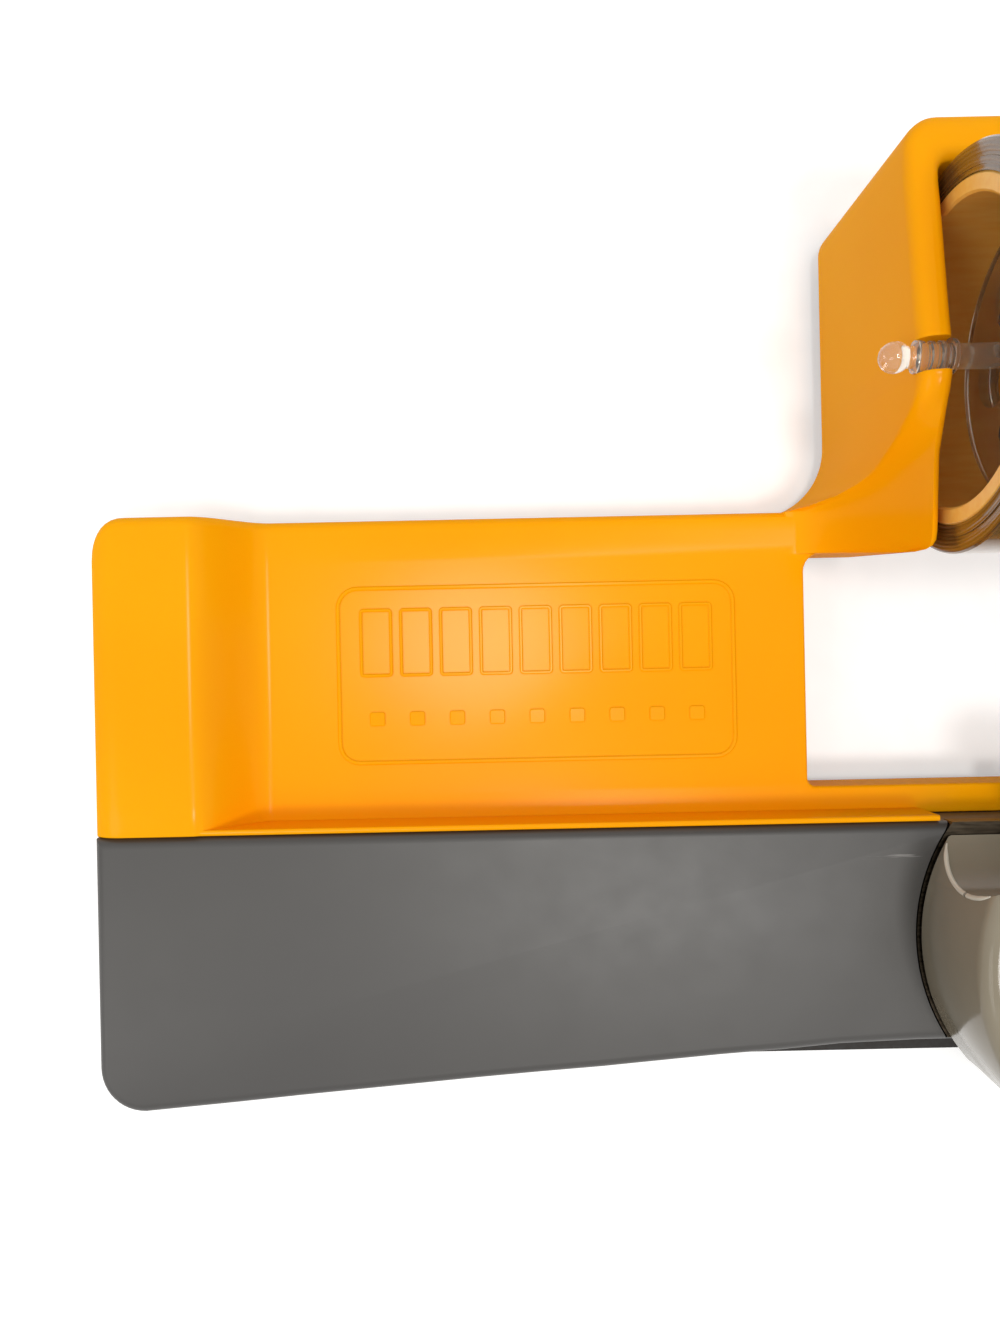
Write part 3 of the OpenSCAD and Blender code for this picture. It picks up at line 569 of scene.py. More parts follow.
def plate_rows(x):
    """Places across the wing at x, front to back, each with its drop below the wing's top."""
    front = [(BEAM_BACK + 0.05 + d, drop) for d, drop in ((0, 0.3), (0.09, 0.09), (0.3, 0.0))]
    middle = [(BAR_BACK, 0.0), (WINDOW_BACK, 0.0)]
    back = [(wing_back_at(x) - d, EDGE_R - math.sqrt(EDGE_R ** 2 - (EDGE_R - d) ** 2))
            for d in (EDGE_R, 0.9, 0.62, 0.38, 0.18, 0.05, 0.0)]
    return front + middle + back


def deck_plate():
    left = [d - HALF_L for d in (0, 0.08, 0.2, 0.4, 0.7, 1.1, 1.6, 2.2, 2.9, 3.6, 6.0, STOP_W)]
    left += [-HALF_L + STOP_W + SLOPE_W * i / 16 for i in range(1, 17)]
    left += [-WINDOW_HALF, -WELL_CELLS]
    xs = left + [-x for x in reversed(left)]
    mesh = bmesh.new()
    tops, below = [], {}
    for x in xs:
        column = []
        for y, drop in plate_rows(-abs(x)):
            top = mesh.verts.new((x * MM, y * MM, (wing_height(-abs(x)) - drop) * MM))
            below[top] = mesh.verts.new((x * MM, y * MM, COVER_Z * MM))
            column.append(top)
        tops.append(column)
    for i, (near_column, far_column) in enumerate(zip(tops, tops[1:])):
        middle = abs(xs[i] + xs[i + 1]) / 2
        for j in range(len(near_column) - 1):
            if j == BAR_ROW and middle < WINDOW_HALF or j > BAR_ROW and middle < WELL_CELLS:
                continue
            cell = (near_column[j], far_column[j], far_column[j + 1], near_column[j + 1])
            mesh.faces.new(cell)
            mesh.faces.new([below[v] for v in reversed(cell)])
    rim = [e for e in mesh.edges if len(e.link_faces) == 1 and e.verts[0] in below]
    for a, b in [e.verts for e in rim]:
        mesh.faces.new((a, b, below[b], below[a]))
    bmesh.ops.delete(mesh, geom=[v for v in mesh.verts if not v.link_faces], context="VERTS")
    bmesh.ops.recalc_face_normals(mesh, faces=mesh.faces)
    data = bpy.data.meshes.new("deck_moulding")
    mesh.to_mesh(data)
    mesh.free()
    return in_scene("deck_moulding", data)


deck = deck_plate()
for y, radius, segments in ((WINDOW_BACK, 2.0, 6), (BAR_BACK, 0.9, 4)):
    bevel_edges(deck, lambda a, b, e: upright(a, b) and near(abs(a.x), WINDOW_HALF) and near(a.y, y),
                radius, segments)
bevel_edges(deck, lambda a, b, e: near(min(a.z, b.z), DECK_H) and sharp(e, 50) and not upright(a, b)
            and max(abs(a.x), abs(b.x)) < WINDOW_HALF + 0.1, 0.7, 5)
print("deck plate faces:", len(deck.data.polygons))

# %% [markdown]
# ## The roll well and its ramps
# The well's wall is a skin swept from the front of the left cheek, along the cheek, round the
# back corner and to the middle of the back wall. The same rings, mirrored, carry it on to the
# front of the right cheek, so the whole wall is one loft. At its front the wall widens into a ramp
# that sweeps down on to the wing, so each ring has its own cross-section.

# %% Cross-sections of the well wall
RIM_R = 0.7
FOOT_X = -31.0
FOOT_R = 8.0
RIDGE_R = 6.0
FACE_LEAN, FACE_RISE = 1.8, 18.0
# The rim's height above the table at distances from the axle, from the front to the back
RIM = [(-20, 27.1), (-15.3, 27.1), (-8.2, 28.1), (-4.6, 29.7), (-2.2, 31.0), (0, 31.2), (3.6, 30.6),
       (11, 29.7), (17.2, 28.8), (25, 28.4)]


def rim_height(y):
    d = y - AXLE_Y
    for (d0, h0), (d1, h1) in zip(RIM, RIM[1:]):
        if d <= d1:
            return min(CHEEK_H, h0 + (h1 - h0) * max(0.0, (d - d0) / (d1 - d0)))
    return RIM[-1][1]


def limit(t):
    return min(1.0, max(0.0, t))


def ease(t):
    t = limit(t)
    return t * t * (3 - 2 * t)


def foot_reach(d):
    """How far the wall's foot stands out from the cheek, d behind the wing's back edge."""
    d = min(FOOT_R, max(0.0, d))
    return FOOT_R - math.sqrt(FOOT_R ** 2 - (FOOT_R - d) ** 2)


def ridge_reach(d):
    """The same for the ridge between the ramp and the wall."""
    return RIDGE_R * (1 - limit(d / RIDGE_R)) ** 7


def rounded(before, corner, after, reach, steps=6):
    """A soft corner: points from the reach before it to the reach after it."""
    (x0, z0), (x1, z1), (x2, z2) = before, corner, after
    a = min(0.9, reach / math.hypot(x1 - x0, z1 - z0))
    b = min(0.9, reach / math.hypot(x2 - x1, z2 - z1))
    start = (x1 + (x0 - x1) * a, z1 + (z0 - z1) * a)
    end = (x1 + (x2 - x1) * b, z1 + (z2 - z1) * b)
    return [tuple((1 - t) ** 2 * p + 2 * t * (1 - t) * q + t * t * r for p, q, r in zip(start, corner, end))
            for t in (k / steps for k in range(steps + 1))]


def section(y, steps=14):
    """The left cheek's section at y: up the outer wall, over the ridge, up the ramp, down inside."""
    d = y - WING_BACK
    ridge_x = -CHEEK_OUT - ridge_reach(d)
    inner = -CHEEK_IN - RIM_R
    low, height = DECK_H - 0.12, rim_height(y)
    power = 2.4 * (1 - ease((d + 0.5) / 7.5)) + 0.03

    def ramp_z(x):
        return low + (height - low) * max(0.0, (x - FOOT_X) / (inner - FOOT_X)) ** power

    foot = (-CHEEK_OUT - foot_reach(d), COVER_Z)
    ridge = (ridge_x, ramp_z(ridge_x + 0.001))
    soft = 1.5 * ease((d - 0.5) / 4) + 0.15
    if power < 0.6:
        beyond = ridge_x + (inner - ridge_x) * 0.9
    else:
        beyond, soft = ridge_x + 1.2, min(soft, 0.8)
    corner = rounded(foot, ridge, (beyond, ramp_z(beyond)), soft)
    start = corner[-1][0]
    top = [(x, ramp_z(x)) for x in (start + (inner - start) * i / steps for i in range(1, steps + 1))]
    over = arc(inner, height - RIM_R, RIM_R, 75, 0, 5)
    return [foot] + corner + top + over + [(-CHEEK_IN, COVER_Z)]


def lean(y, z):
    """The front face leans forward towards its top."""
    fade = 1 - ease((y - WINDOW_BACK) / 7.0)
    return y - FACE_LEAN * fade * limit((z - DECK_H) / FACE_RISE)


print("height of the well's rim over the axle:", rim_height(AXLE_Y))

# %% [markdown]
# ## Rings of the well wall, and its union with the deck
# The first rings shrink a little, which rounds the front edge. Round the back corner the outer and
# the inner face turn with radii of their own. The wall gets the axle's slots, and is then united
# with the plate and with the thin strip that stands behind the beam. The slots' mouths are
# rounded last, because the union would undo it.

# %% Well wall
FRONT_ROUND = ((1.5, 0.0), (0.85, 0.12), (0.4, 0.42), (0.12, 0.85), (0.0, 1.5))
INSIDE_POINTS = 7
TURN_START = WELL_BACK_OUT - 6.2
TURN_OUT, TURN_IN = 3.0, 1.0
SLOT_HALF = 1.5


def well_rings():
    """Rings along the left cheek and round the back corner."""
    rings = []
    for inset, dy in FRONT_ROUND:
        y = WINDOW_BACK + dy
        points = section(y)
        last = len(points) - 1
        ring = []
        for i, (x, z) in enumerate(points):
            take = inset * limit((z - DECK_H) / FACE_RISE * 1.6) if 0 < i < last else 0.0
            inside = take if i >= last - INSIDE_POINTS else 0.0
            ring.append((min(x, -CHEEK_IN - inside), lean(y, z), z - take))
        rings.append(ring)
    y = WINDOW_BACK + 2.1
    while y < TURN_START:
        rings.append([(x, lean(y, z), z) for x, z in section(y)])
        y += 0.5 if y < WING_BACK + 7 else 1.2
    corner_out = arc(-CHEEK_OUT + TURN_OUT, WELL_BACK_OUT - TURN_OUT, TURN_OUT, 180, 90, 10)
    corner_in = arc(-CHEEK_IN + TURN_IN, WELL_BACK - TURN_IN, TURN_IN, 180, 90, 10)
    for (xo, yo), (xi, yi) in zip(corner_out, corner_in):
        ring = []
        for x, z in section(TURN_START):
            f = (x + CHEEK_OUT) / (CHEEK_OUT - CHEEK_IN)
            ring.append((xo + (xi - xo) * f, yo + (yi - yo) * f, z))
        rings.append(ring)
    return rings


rings = well_rings()
rings += [[(x, y, z) for _, y, z in rings[-1]] for x in (-14.0, 0.0)]
rings += [[(-x, y, z) for x, y, z in ring] for ring in reversed(rings[:-1])]
well = loft("well_wall", rings)
for side in (-1, 1):
    x0, x1 = sorted((side * (CHEEK_IN - 1), side * (CHEEK_OUT + 3)))
    cut(well, tube_along_x("slot_floor", x0, x1, AXLE_Y, AXLE_Z, SLOT_HALF, 48))
    cut(well, block("slot_way", (x0, AXLE_Y - SLOT_HALF, AXLE_Z), (x1, AXLE_Y + SLOT_HALF, CHEEK_H + 2)))
cut(deck, well, "UNION")
for x0, x1 in ((-97.0, -17.2), (17.2, 25.2), (38.8, 97.0)):
    lip_strip = block("lip_strip", (x0, BEAM_BACK + 0.05, DECK_H - 1.5),
                      (x1, BEAM_BACK + 0.65, BEAM_H - 0.35))
    bevel_edges(lip_strip, lambda a, b, e: min(a.z, b.z) > BEAM_H - 1 and near(a.y, b.y), 0.22, 3)
    cut(deck, lip_strip, "UNION")
bevel_edges(deck, lambda a, b, e: near(a.y, b.y) and near(abs(a.y - AXLE_Y), SLOT_HALF, 0.03)
            and min(a.z, b.z) > AXLE_Z + 0.8 and sharp(e, 40) and abs(a.x - b.x) > 0.5, 1.0, 5)
print("deck with well faces:", len(deck.data.polygons))

# %% [markdown]
# ## The raised outline on each wing
# A thin raised line frames each wing's panel, with a row of film frames and their perforations
# inside it. Each line is a flat outline with softened edges that stands a fifth of a millimetre
# proud, so it shows through its shading alone.

# %% Raised film-strip outline
SUNK, RISE, LINE_W = -0.15, 0.2, 0.5
PANEL_X = HALF_L - 46.7
PANEL_Y = BEAM_BACK + 16.4
FRAME_PITCH = 4.4


def round_rect(cx, cy, w, h, r, steps):
    points = []
    for sx, sy, start in ((1, 1, 0), (-1, 1, 90), (-1, -1, 180), (1, -1, 270)):
        points += arc(cx + sx * (w / 2 - r), cy + sy * (h / 2 - r), r, start, start + 90, steps)
    return points


def raised(name, cx, cy, w, h, r, layers, steps, closed_loop=False):
    """A raised shape from (inset, height) layers of a rounded rectangle."""
    rings = [[(x, y, DECK_H + dz) for x, y in
              round_rect(cx, cy, w - 2 * inset, h - 2 * inset, max(0.05, r - inset), steps)]
             for inset, dz in layers]
    return loft(name, rings, closed_loop)


def raised_line(cx, cy, w, h, r, line=LINE_W):
    layers = [(0.0, SUNK), (0.0, RISE * 0.3), (0.14, RISE)]
    layers += [(line - inset, dz) for inset, dz in reversed(layers)]
    return raised("raised_line", cx, cy, w, h, r, layers, 6, closed_loop=True)


def raised_dot(cx, cy, w, h, r):
    return raised("raised_dot", cx, cy, w, h, r, [(0.0, SUNK), (0.0, RISE * 0.5), (0.12, RISE)], 4)


marks = []
for side in (-1, 1):
    marks.append(raised_line(side * PANEL_X, PANEL_Y, 44.0, 19.7, 2.4))
    for i in range(-4, 5):
        x = side * PANEL_X + i * FRAME_PITCH
        marks.append(raised_line(x, PANEL_Y + 3.6, 3.7, 7.6, 0.5, 0.42))
        marks.append(raised_dot(x, PANEL_Y - 4.8, 1.7, 1.6, 0.3))
join(deck, *marks)
finish_piece(deck, ORANGE, "base", "orange_plastic", "deck", degrees=38)

# %% [markdown]
# ## The smoked head
# The head is a thick disc of smoked acrylic. A round hollow runs along its back, on both sides of
# the hinge knuckle, and its front hangs over the beam as a lip for the finger. A turned disc is
# cut by tubes and blocks, as a miller would cut it from a blank.

# %% Head shell
HEAD_R = 19.8
HEAD_LOW = BEAM_H + 0.3
HEAD_TOP = HEAD_LOW + 13.7
KNUCKLE, KNUCKLE_R = 4.0, 3.2
SCOOP_Y, SCOOP_Z, SCOOP_R = BEAM_BACK + 4.8, BEAM_H + 8.7, 10.4
LIP_Y, LIP_R = BEAM_MID_FRONT - 7.6, 7.0
FAR = 40
SLIVER = 0.02
head = disc("head_shell", 0, HEAD_Y, HEAD_LOW, HEAD_TOP, HEAD_R, 160)
round_rim(head, HEAD_TOP, 1.6, 6)
round_rim(head, HEAD_LOW, 0.3, 2)
for side in (-1, 1):
    x0, x1 = sorted((side * KNUCKLE, side * FAR))
    cut(head, tube_along_x("scoop", x0, x1, SCOOP_Y, SCOOP_Z, SCOOP_R, 128))
    cut(head, block("back", (x0, BEAM_BACK + 0.4, 0), (x1, HEAD_Y + FAR, HEAD_TOP + 5)))
rim_count = bevel_edges(head, lambda a, b, e: all(
    near(math.hypot(v.y - SCOOP_Y, v.z - SCOOP_Z), SCOOP_R, 0.06)
    and near(math.hypot(v.x, v.y - HEAD_Y), HEAD_R, 0.06) for v in (a, b)), 0.45, 3)
print("rounded rim edges:", rim_count)
arm = block("arm", (-KNUCKLE, SCOOP_Y - 12.0, HINGE_Z - KNUCKLE_R),
            (KNUCKLE, HINGE_Y, HINGE_Z + KNUCKLE_R))
cut(arm, tube_along_x("barrel", -KNUCKLE, KNUCKLE, HINGE_Y, HINGE_Z, KNUCKLE_R, 64), "UNION")
# These two are a sliver wider than the knuckle, so that no thin skin is left beside it
wide = KNUCKLE + SLIVER
cut(head, block("above", (-wide, HINGE_Y - 1, HINGE_Z), (wide, HEAD_Y + FAR, HEAD_TOP + 5)))
cut(head, block("below", (-wide, HINGE_Y - 4.2, 0), (wide, HEAD_Y + FAR, HINGE_Z + 1)))
cut(head, arm, "UNION")
cut(head, tube_along_x("pin_bore", -FAR, FAR, HINGE_Y, HINGE_Z, 1.3, 48))
cut(head, tube_along_x("lip", -FAR, FAR, LIP_Y, HEAD_TOP - 12, LIP_R, 128))
cut(head, block("under_lip", (-FAR, HEAD_Y - HEAD_R - 1, 0), (FAR, LIP_Y, HEAD_TOP - 5)))
cut(head, block("hollow", (-13.2, FILM_Y - 6.4, HEAD_LOW - 1), (13.2, FILM_Y + 6.4, 21.7)))
cut(head, disc("ram_bore", 0, FILM_Y, HEAD_LOW - 1, HEAD_TOP + 1, 4.05, 64))
finish_piece(head, SMOKED, "head", "smoked_plastic", "head_body", degrees=35)

# %% [markdown]
# ## The painted highlight on the rims of the hollow
# Where the hollow leaves the head's round wall, the acrylic's narrow edge catches the light. A thin bead
# is laid along the curve in which the two rounds meet, and its pale colour is a painted highlight for
# that light, because the small bevel there is too fine to show it by itself.

# %% Painted highlight on the rims of the hollow
BEAD_R = 0.24
BEAD_SIDES = 10


def rim_point(side, angle):
    """Where the hollow leaves the head's round wall, at an angle about the hollow's axis."""
    y = SCOOP_Y + SCOOP_R * math.cos(angle)
    z = SCOOP_Z + SCOOP_R * math.sin(angle)
    return (side * math.sqrt(max(0.0, (HEAD_R - 0.04) ** 2 - (y - HEAD_Y) ** 2)), y, z)


def bead(name, path):
    """A round bead along a path, thinner towards its two ends."""
    rings = []
    last = len(path) - 1
    for k, p in enumerate(path):
        along = (Vector(path[min(last, k + 1)]) - Vector(path[max(0, k - 1)])).normalized()
        across = along.cross(Vector((0, 0, 1))).normalized()
        up = across.cross(along)
        r = BEAD_R * min(1.0, 0.35 + 6.0 * min(k, last - k) / len(path))
        rings.append([Vector(p) + across * x + up * y for x, y in circle(0, 0, r, BEAD_SIDES)])
    return loft(name, rings)


def rim_path(side):
    points = [rim_point(side, math.radians(242 - 133 * k / 60)) for k in range(61)]
    return [p for p in points if HEAD_LOW + 0.4 < p[2] < HEAD_TOP - 1.3 and p[1] < BEAM_BACK + 0.2]


# The bead's pale colour is a painted highlight along the rims.
rims = join(*(bead("scoop_rims", rim_path(side)) for side in (-1, 1)))
finish_piece(rims, RIM_HIGHLIGHT_PAINT, "head", "smoked_plastic")

# %% [markdown]
# ## The tape roll on its core
# The roll is a thick ring of wound tape on a card tube. The tape's edges never lie quite flush, so
# the ring's two faces have slight steps. Both rings are turned from the outline of their section.

# %% Tape roll and core
def turned_along_x(name, profile, steps, closed_loop=False):
    """A solid turned about the axle from (x, r) points; a closed loop goes round a ring's section."""
    rings = [[(x, y, z) for y, z in circle(AXLE_Y, AXLE_Z, r, steps)] for x, r in profile]
    return loft(name, rings, closed_loop)


TAPE_HALF = 21.5
TAPE_R = 17.6
CORE_IN, CORE_OUT, CORE_EDGE = 13.4, 15.0, 0.2
# Radius, and how far the tape's edge lies in from the face
SIDE_STEPS = [(15.02, 0.0), (15.5, 0.10), (15.52, 0.02), (16.1, 0.0), (16.12, 0.12), (16.7, 0.04),
              (17.2, 0.0), (17.45, 0.08), (TAPE_R, 0.3)]
tape_profile = [(d - TAPE_HALF, r) for r, d in SIDE_STEPS]
tape_profile += [(-x, r) for x, r in reversed(tape_profile)]
tape = turned_along_x("tape_coil", tape_profile, 128, closed_loop=True)
finish_piece(tape, TAPE, "roll", "brown_tape", "tape_roll")
core_side = [(TAPE_HALF - CORE_EDGE, CORE_IN), (TAPE_HALF, CORE_IN + CORE_EDGE),
             (TAPE_HALF, CORE_OUT - CORE_EDGE), (TAPE_HALF - CORE_EDGE, CORE_OUT)]
core_profile = core_side + [(-x, r) for x, r in reversed(core_side)]
core = turned_along_x("core_tube", core_profile, 128, closed_loop=True)
finish_piece(core, CORE, "roll", "core_card", "tape_core")

# %% [markdown]
# ## The clear axle
# The axle is one moulding: a rod with a ball at each end, collars on both sides of each cheek and
# two hub discs with round holes that carry the core. The rod is turned from its outline, and the
# discs are drilled and united with it.

# %% Clear axle
BALL_X = CHEEK_OUT + 1.9
BALL_R = 1.42
HUB_X, HUB_R = 13.5, 13.35
HOLES, HOLE_RING, HOLE_R = 6, 7.4, 2.8
# From the first collar to the ball's neck: along the axle, and the radius there
rod = [(21.6, 1.15), (21.65, 1.6), (22.05, 1.6), (22.1, 1.15), (22.6, 1.15), (22.7, 1.4), (23.0, 1.4),
       (23.1, 1.15), (23.5, 1.15), (23.6, 1.4), (23.9, 1.4), (24.0, 1.15), (24.4, 1.15), (24.5, 1.4),
       (24.75, 1.45), (25.15, 1.45), (25.3, 1.0), (25.55, 0.95)]
rod += arc(BALL_X, 0, BALL_R, 180 - 46, 180 - 172, 14)
rod += [(BALL_X + BALL_R * math.cos(math.radians(3)), 0.1)]
axle = turned_along_x("clear_axle", [(-x, r) for x, r in reversed(rod)] + rod, 48)
for side in (-1, 1):
    x = side * HUB_X
    hub = tube_along_x("hub", x - 1, x + 1, AXLE_Y, AXLE_Z, HUB_R, 96)
    bevel_edges(hub, lambda a, b, e: sharp(e, 60), 0.25, 2)
    for z, y in circle(AXLE_Z, AXLE_Y, HOLE_RING, HOLES):
        cut(hub, tube_along_x("hole", x - 3, x + 3, y, z, HOLE_R, 32))
    cut(axle, hub, "UNION")
finish_piece(axle, CLEAR, "axle", "clear_plastic", "axle")

# %% [markdown]
# ## The press knob
# The press knob has a fluted rim for the thumb. It starts as a disc with rounded edges, and the
# flutes are cut with a ring of thin cylinders, as a toolmaker would mill them into the mould. It
# is hollow below, and its screw sinks into its top.

# %% Press knob
KNOB_BASE = HEAD_TOP + 3.0
KNOB_TOP = HEAD_TOP + 9.0
KNOB_R = 9.0
FLUTES, FLUTE_RING, FLUTE_R = 24, 9.45, 0.8
knob = disc("press_cap", 0, FILM_Y, KNOB_BASE, KNOB_TOP, KNOB_R, 144)
round_rim(knob, KNOB_TOP, 1.2, 5)
round_rim(knob, KNOB_BASE, 0.4, 3)
cut(knob, join(*(disc("flute", x, y, KNOB_BASE - 1, KNOB_TOP + 1, FLUTE_R, 16)
                 for x, y in circle(0, FILM_Y, FLUTE_RING, FLUTES))))
cut(knob, disc("under", 0, FILM_Y, KNOB_BASE - 1, KNOB_TOP - 1.8, 7.2, 96))
cut(knob, disc("screw_way", 0, FILM_Y, KNOB_BASE - 1, KNOB_TOP + 1, 1.3, 32))
cut(knob, disc("screw_seat", 0, FILM_Y, KNOB_TOP - 0.9, KNOB_TOP + 1, 2.5, 48))
finish_piece(knob, ORANGE, "press", "orange_plastic", "press_knob")

# %% [markdown]
# ## The trimming lever
# The lever is a flat moulded bar with a barrel round its pin and a round front end. It is cut away
# on its left for the blade, which is screwed on there.

# %% Trimming lever
ARM_HALF = 4.15
ARM_Z0, ARM_Z1 = BEAM_H + 1.0, BEAM_H + 5.5
ARM_FRONT = BEAM_MID_FRONT + 1.5
TRIM_Z = BEAM_H + 5.0
BARREL_R, PIN_R, STUD_R, SCREW_R = 2.6, 1.06, 1.5, 0.85
lever_outline = ([(TRIM_X - ARM_HALF, HINGE_Y)] + arc(TRIM_X, ARM_FRONT, ARM_HALF, 180, 360, 30)
                 + [(TRIM_X + ARM_HALF, HINGE_Y)])
lever = outline_solid("trim_lever", lever_outline, ARM_Z0, ARM_Z1)
barrel = tube_along_x("barrel", TRIM_X - ARM_HALF, TRIM_X + ARM_HALF, HINGE_Y, TRIM_Z, BARREL_R, 64)
cut(lever, barrel, "UNION")
blade_side = box_mm("trim_blade")[1].x
cut(lever, block("blade_flat", (TRIM_X - 9, BEAM_MID_FRONT + 5.6, ARM_Z0 - 1),
                 (blade_side + 0.02, BEAM_BACK - 4, ARM_Z1 + 1)))
cut(lever, tube_along_x("pin_way", TRIM_X - 9, TRIM_X + 9, HINGE_Y, TRIM_Z, PIN_R, 40))
cut(lever, disc("stud_way", TRIM_X, ARM_FRONT, ARM_Z1 - 2.5, ARM_Z1 + 1, STUD_R, 40))
for y in (BEAM_MID_FRONT + 8.8, BEAM_BACK - 6.8):
    cut(lever, tube_along_x("screw_way", blade_side - 1, blade_side + 4, y, ARM_Z0 + 2.25, SCREW_R, 24))
bevel_edges(lever, lambda a, b, e: near(a.z, ARM_Z1) and near(b.z, ARM_Z1) and sharp(e, 60)
            and math.hypot(a.x - TRIM_X, a.y - ARM_FRONT) > 2.0, 0.5, 4)
finish_piece(lever, GREY, "trimmer", "grey_plastic", "trim_arm")

# %% [markdown]
# ## The lever's finger cap
# The small cap on the lever's front is turned, and waves round its rim give the finger a grip. It
# is a loft over rings of points, because the waves are part of each ring.

# %% Finger cap
GRIPS, GRIP_DEPTH, CAP_STEPS = 16, 0.28, 96
# Height over the lever, radius, and how deep the grips are there, from 0 to 1
CAP_PROFILE = [(-2.2, 1.45, 0), (0.0, 1.45, 0), (0.02, 2.4, 0), (1.2, 2.7, 0), (1.8, 3.1, 0), (2.0, 3.6, 0),
               (2.15, 4.05, 0), (2.45, 4.2, 1), (4.5, 4.2, 1), (4.85, 4.12, 0.6), (5.15, 3.85, 0),
               (5.35, 3.5, 0), (5.42, 3.1, 0), (5.3, 2.4, 0), (5.15, 1.4, 0), (5.1, 0.2, 0)]


def cap_ring(z, r, grip):
    ring = []
    for a in (2 * math.pi * k / CAP_STEPS for k in range(CAP_STEPS)):
        reach = r - GRIP_DEPTH * grip * (0.5 + 0.5 * math.cos(GRIPS * a))
        ring.append((TRIM_X + reach * math.cos(a), ARM_FRONT + reach * math.sin(a), ARM_Z1 + z))
    return ring


cap = loft("finger_cap", [cap_ring(*point) for point in CAP_PROFILE])
finish_piece(cap, ORANGE, "trimmer", "orange_plastic", "finger_knob")

# %% [markdown]
# ## The return spring
# The spring is one wire: a small circle of points carried along a helix. It is attached to the press
# body, so it moves with the knob as one rigid piece.

# %% Return spring
spring_low, spring_high = box_mm("return_spring")
coil_length = spring_high.z - spring_low.z
WIRE_R = 0.3
COIL_R = (spring_high.x - spring_low.x) / 2 - WIRE_R
TURNS, TURN_STEPS = 3, 40


def wire_ring(k):
    a = 2 * math.pi * k / TURN_STEPS
    z = spring_low.z + WIRE_R + (coil_length - 2 * WIRE_R) * k / (TURNS * TURN_STEPS)
    return [(r * math.cos(a), FILM_Y + r * math.sin(a), z + dz)
            for r, dz in circle(COIL_R, 0, WIRE_R, 12)]


coil = loft("spring_coil", [wire_ring(k) for k in range(TURNS * TURN_STEPS + 1)])
finish_piece(coil, WIRE, "press", "spring_steel", "return_spring")
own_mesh(coil)

# %% [markdown]
# ## Finishes of the remaining CAD nodes
# The other pieces already have the right shape in the CAD model. They keep it, and only get the
# finish that the real ones have.

# %% Materials of the remaining CAD nodes
FINISHES = {
    COVER: ["bottom_cover"],
    RUBBER: ["rubber_feet"],
    PAD: ["film_pad"],
    BED: ["film_bed"],
    GROUND: ["trim_anvil", "spring_seat"],
    BLADE: ["tape_knives", "trim_blade"],
    PLATED: ["cover_screws", "bed_screws", "register_pins", "hinge_pin", "ram", "ram_plate", "punch_pins",
             "knob_screw", "anvil_screws", "trim_pin", "blade_screws"],
}
for material, nodes in FINISHES.items():
    for node in nodes:
        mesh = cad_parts[node].data
        mesh.materials.clear()
        mesh.materials.append(material)
print("CAD nodes with a new finish:", sum(len(nodes) for nodes in FINISHES.values()))

# %% [markdown]
# ## The table
# The splicer lies on a pale table. What the camera, a reflection or a clear piece sees of it
# glows a little, so that it comes out nearly white, yet the glow lights nothing: rays of diffuse
# light see the plain laminate. The shadow of the splicer stays.

# %% Floor
TABLE_GLOW = 0.34
deselect_all()
bpy.ops.mesh.primitive_plane_add(size=30.0, location=(0, 0, -0.2 * MM))
floor = bpy.context.object
floor.name = floor.data.name = "table_top"
table, place = new_material("pale_table_laminate")
speck = add_node(table, "TexNoise", {"Vector": place}, in_Scale=per_mm(3), in_Detail=4.0)
tone = add_node(table, "ValToRGB", {"Fac": speck}, stops=[(0.3, 0.80), (0.7, 0.84)])
set_shader(table, tone, Roughness=0.6)
glow = add_node(table, "Emission", in_Strength=TABLE_GLOW)
both = add_node(table, "AddShader", {0: shader_of(table), 1: glow})
path = add_node(table, "LightPath")
shown = add_node(table, "Math", {1: path.outputs["Is Diffuse Ray"]}, operation="SUBTRACT", in_0=1.0)
mix = add_node(table, "MixShader", {0: shown, 1: shader_of(table), 2: both})
link(table, mix, table.node_tree.nodes["Material Output"].inputs["Surface"])
floor.data.materials.append(table)

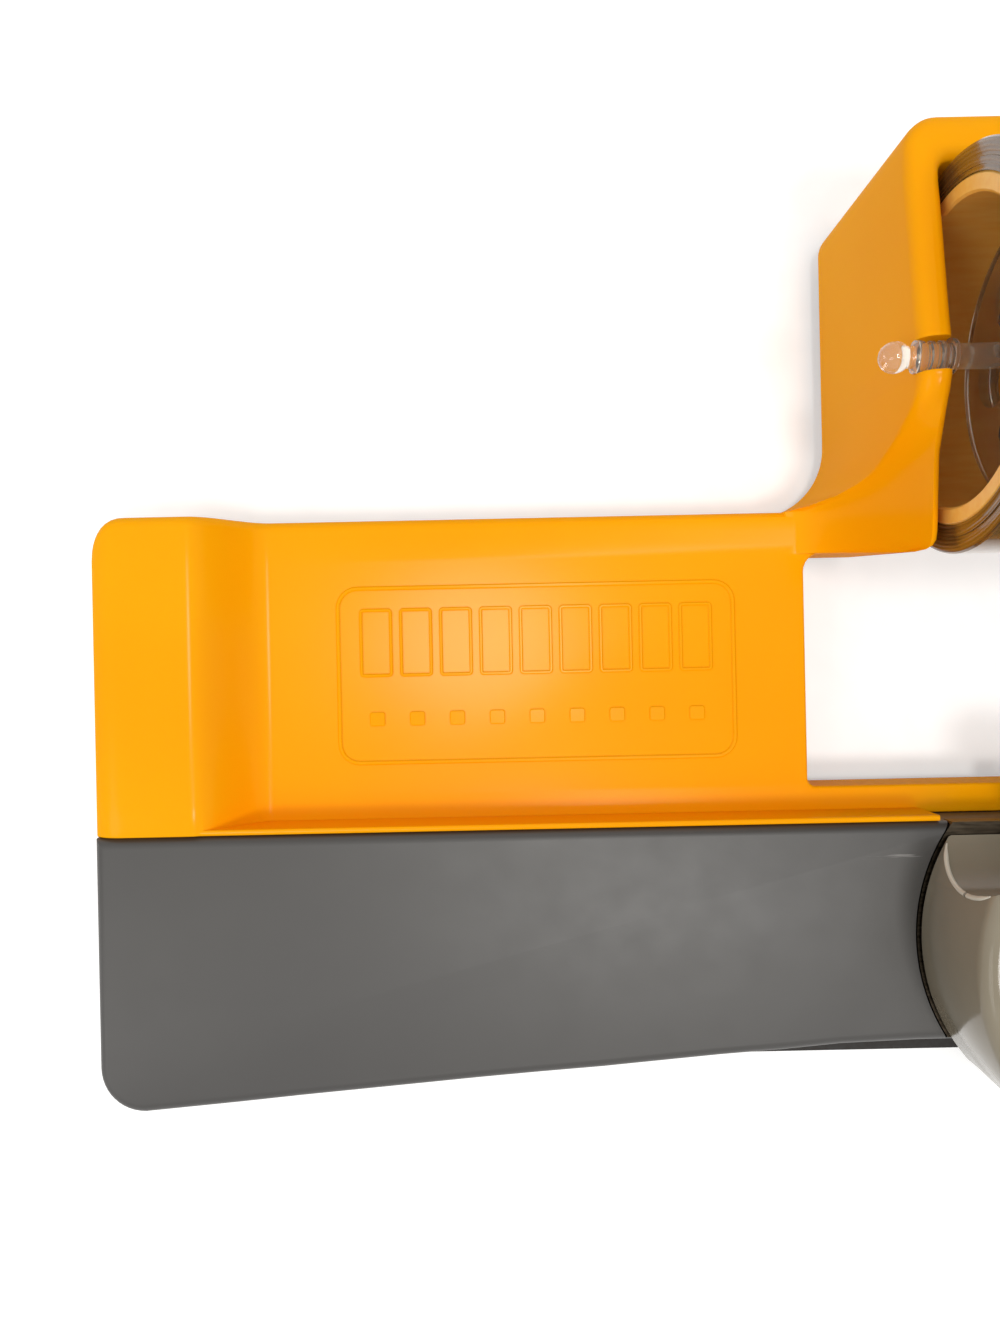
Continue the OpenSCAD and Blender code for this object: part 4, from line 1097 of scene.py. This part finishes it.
# %% [markdown]
# ## Lamps and the pale room
# Two small lamps hang overhead, one straight above and one to the front, and give the sheen along
# the edges. A larger one stands to the left and lights the sides. The pale room fills the shadows:
# as at the table, diffuse light gets less of it than what is seen.

# %% Lights
def soft_lamp(name, place, aim, size, power, colour=(1.0, 0.98, 0.95)):
    light = bpy.data.lights.new(name, "AREA")
    light.shape = "DISK"
    light.size = size
    light.energy = power
    light.color = colour
    lamp = in_scene(name, light)
    lamp.location = place
    lamp.rotation_euler = (Vector(aim) - Vector(place)).to_track_quat("-Z", "Y").to_euler()
    print(name, power, "W")


# Places and sizes in metres, power in watts
soft_lamp("ceiling_lamp", (-0.035, 0.017, 0.6), (-0.035, 0.0, 0.0), 0.10, 0.78, (1.0, 0.98, 0.94))
soft_lamp("front_lamp", (0.043, -0.169, 0.615), (-0.047, -0.025, 0.015), 0.12, 1.10)
soft_lamp("left_front", (-0.75, -0.35, 0.80), (-0.02, 0.0, 0.0), 0.5, 1.9)

ROOM_FILL, ROOM_SEEN = 0.52, 1.0
world = bpy.data.worlds.new("pale_room")
bpy.context.scene.world = world
world.use_nodes = True
backdrop = world.node_tree.nodes["Background"]
backdrop.inputs["Color"].default_value = linear(1.0)
rays = add_node(world, "LightPath")
seen = add_node(world, "Math", {1: rays.outputs["Is Diffuse Ray"]}, operation="SUBTRACT", in_0=1.0)
strength = add_node(world, "MapRange", {"Value": seen}, in_To_Min=ROOM_FILL, in_To_Max=ROOM_SEEN)
link(world, strength, backdrop.inputs["Strength"])

# %% [markdown]
# ## The camera
# The photo was taken from close above the left wing, looking straight down. The focal length is
# one picture width, as a phone's, and the picture is turned by a little over a degree.

# %% Camera
CAMERA = (-62.8, -0.05, 119.0)
TURN = -1.2
view = bpy.data.cameras.new("phone_above")
view.sensor_fit = "AUTO"
view.sensor_width = 36.0
view.lens = 1000.0 / 1328.0 * view.sensor_width
view.clip_start = 0.005
view.clip_end = 20.0
phone = in_scene("phone_above", view)
phone.location = [v * MM for v in CAMERA]
phone.rotation_euler = (0.0, 0.0, math.radians(TURN))
bpy.context.scene.camera = phone
bpy.context.scene.view_settings.view_transform = "Standard"
print("camera", CAMERA[2], "mm above the table")
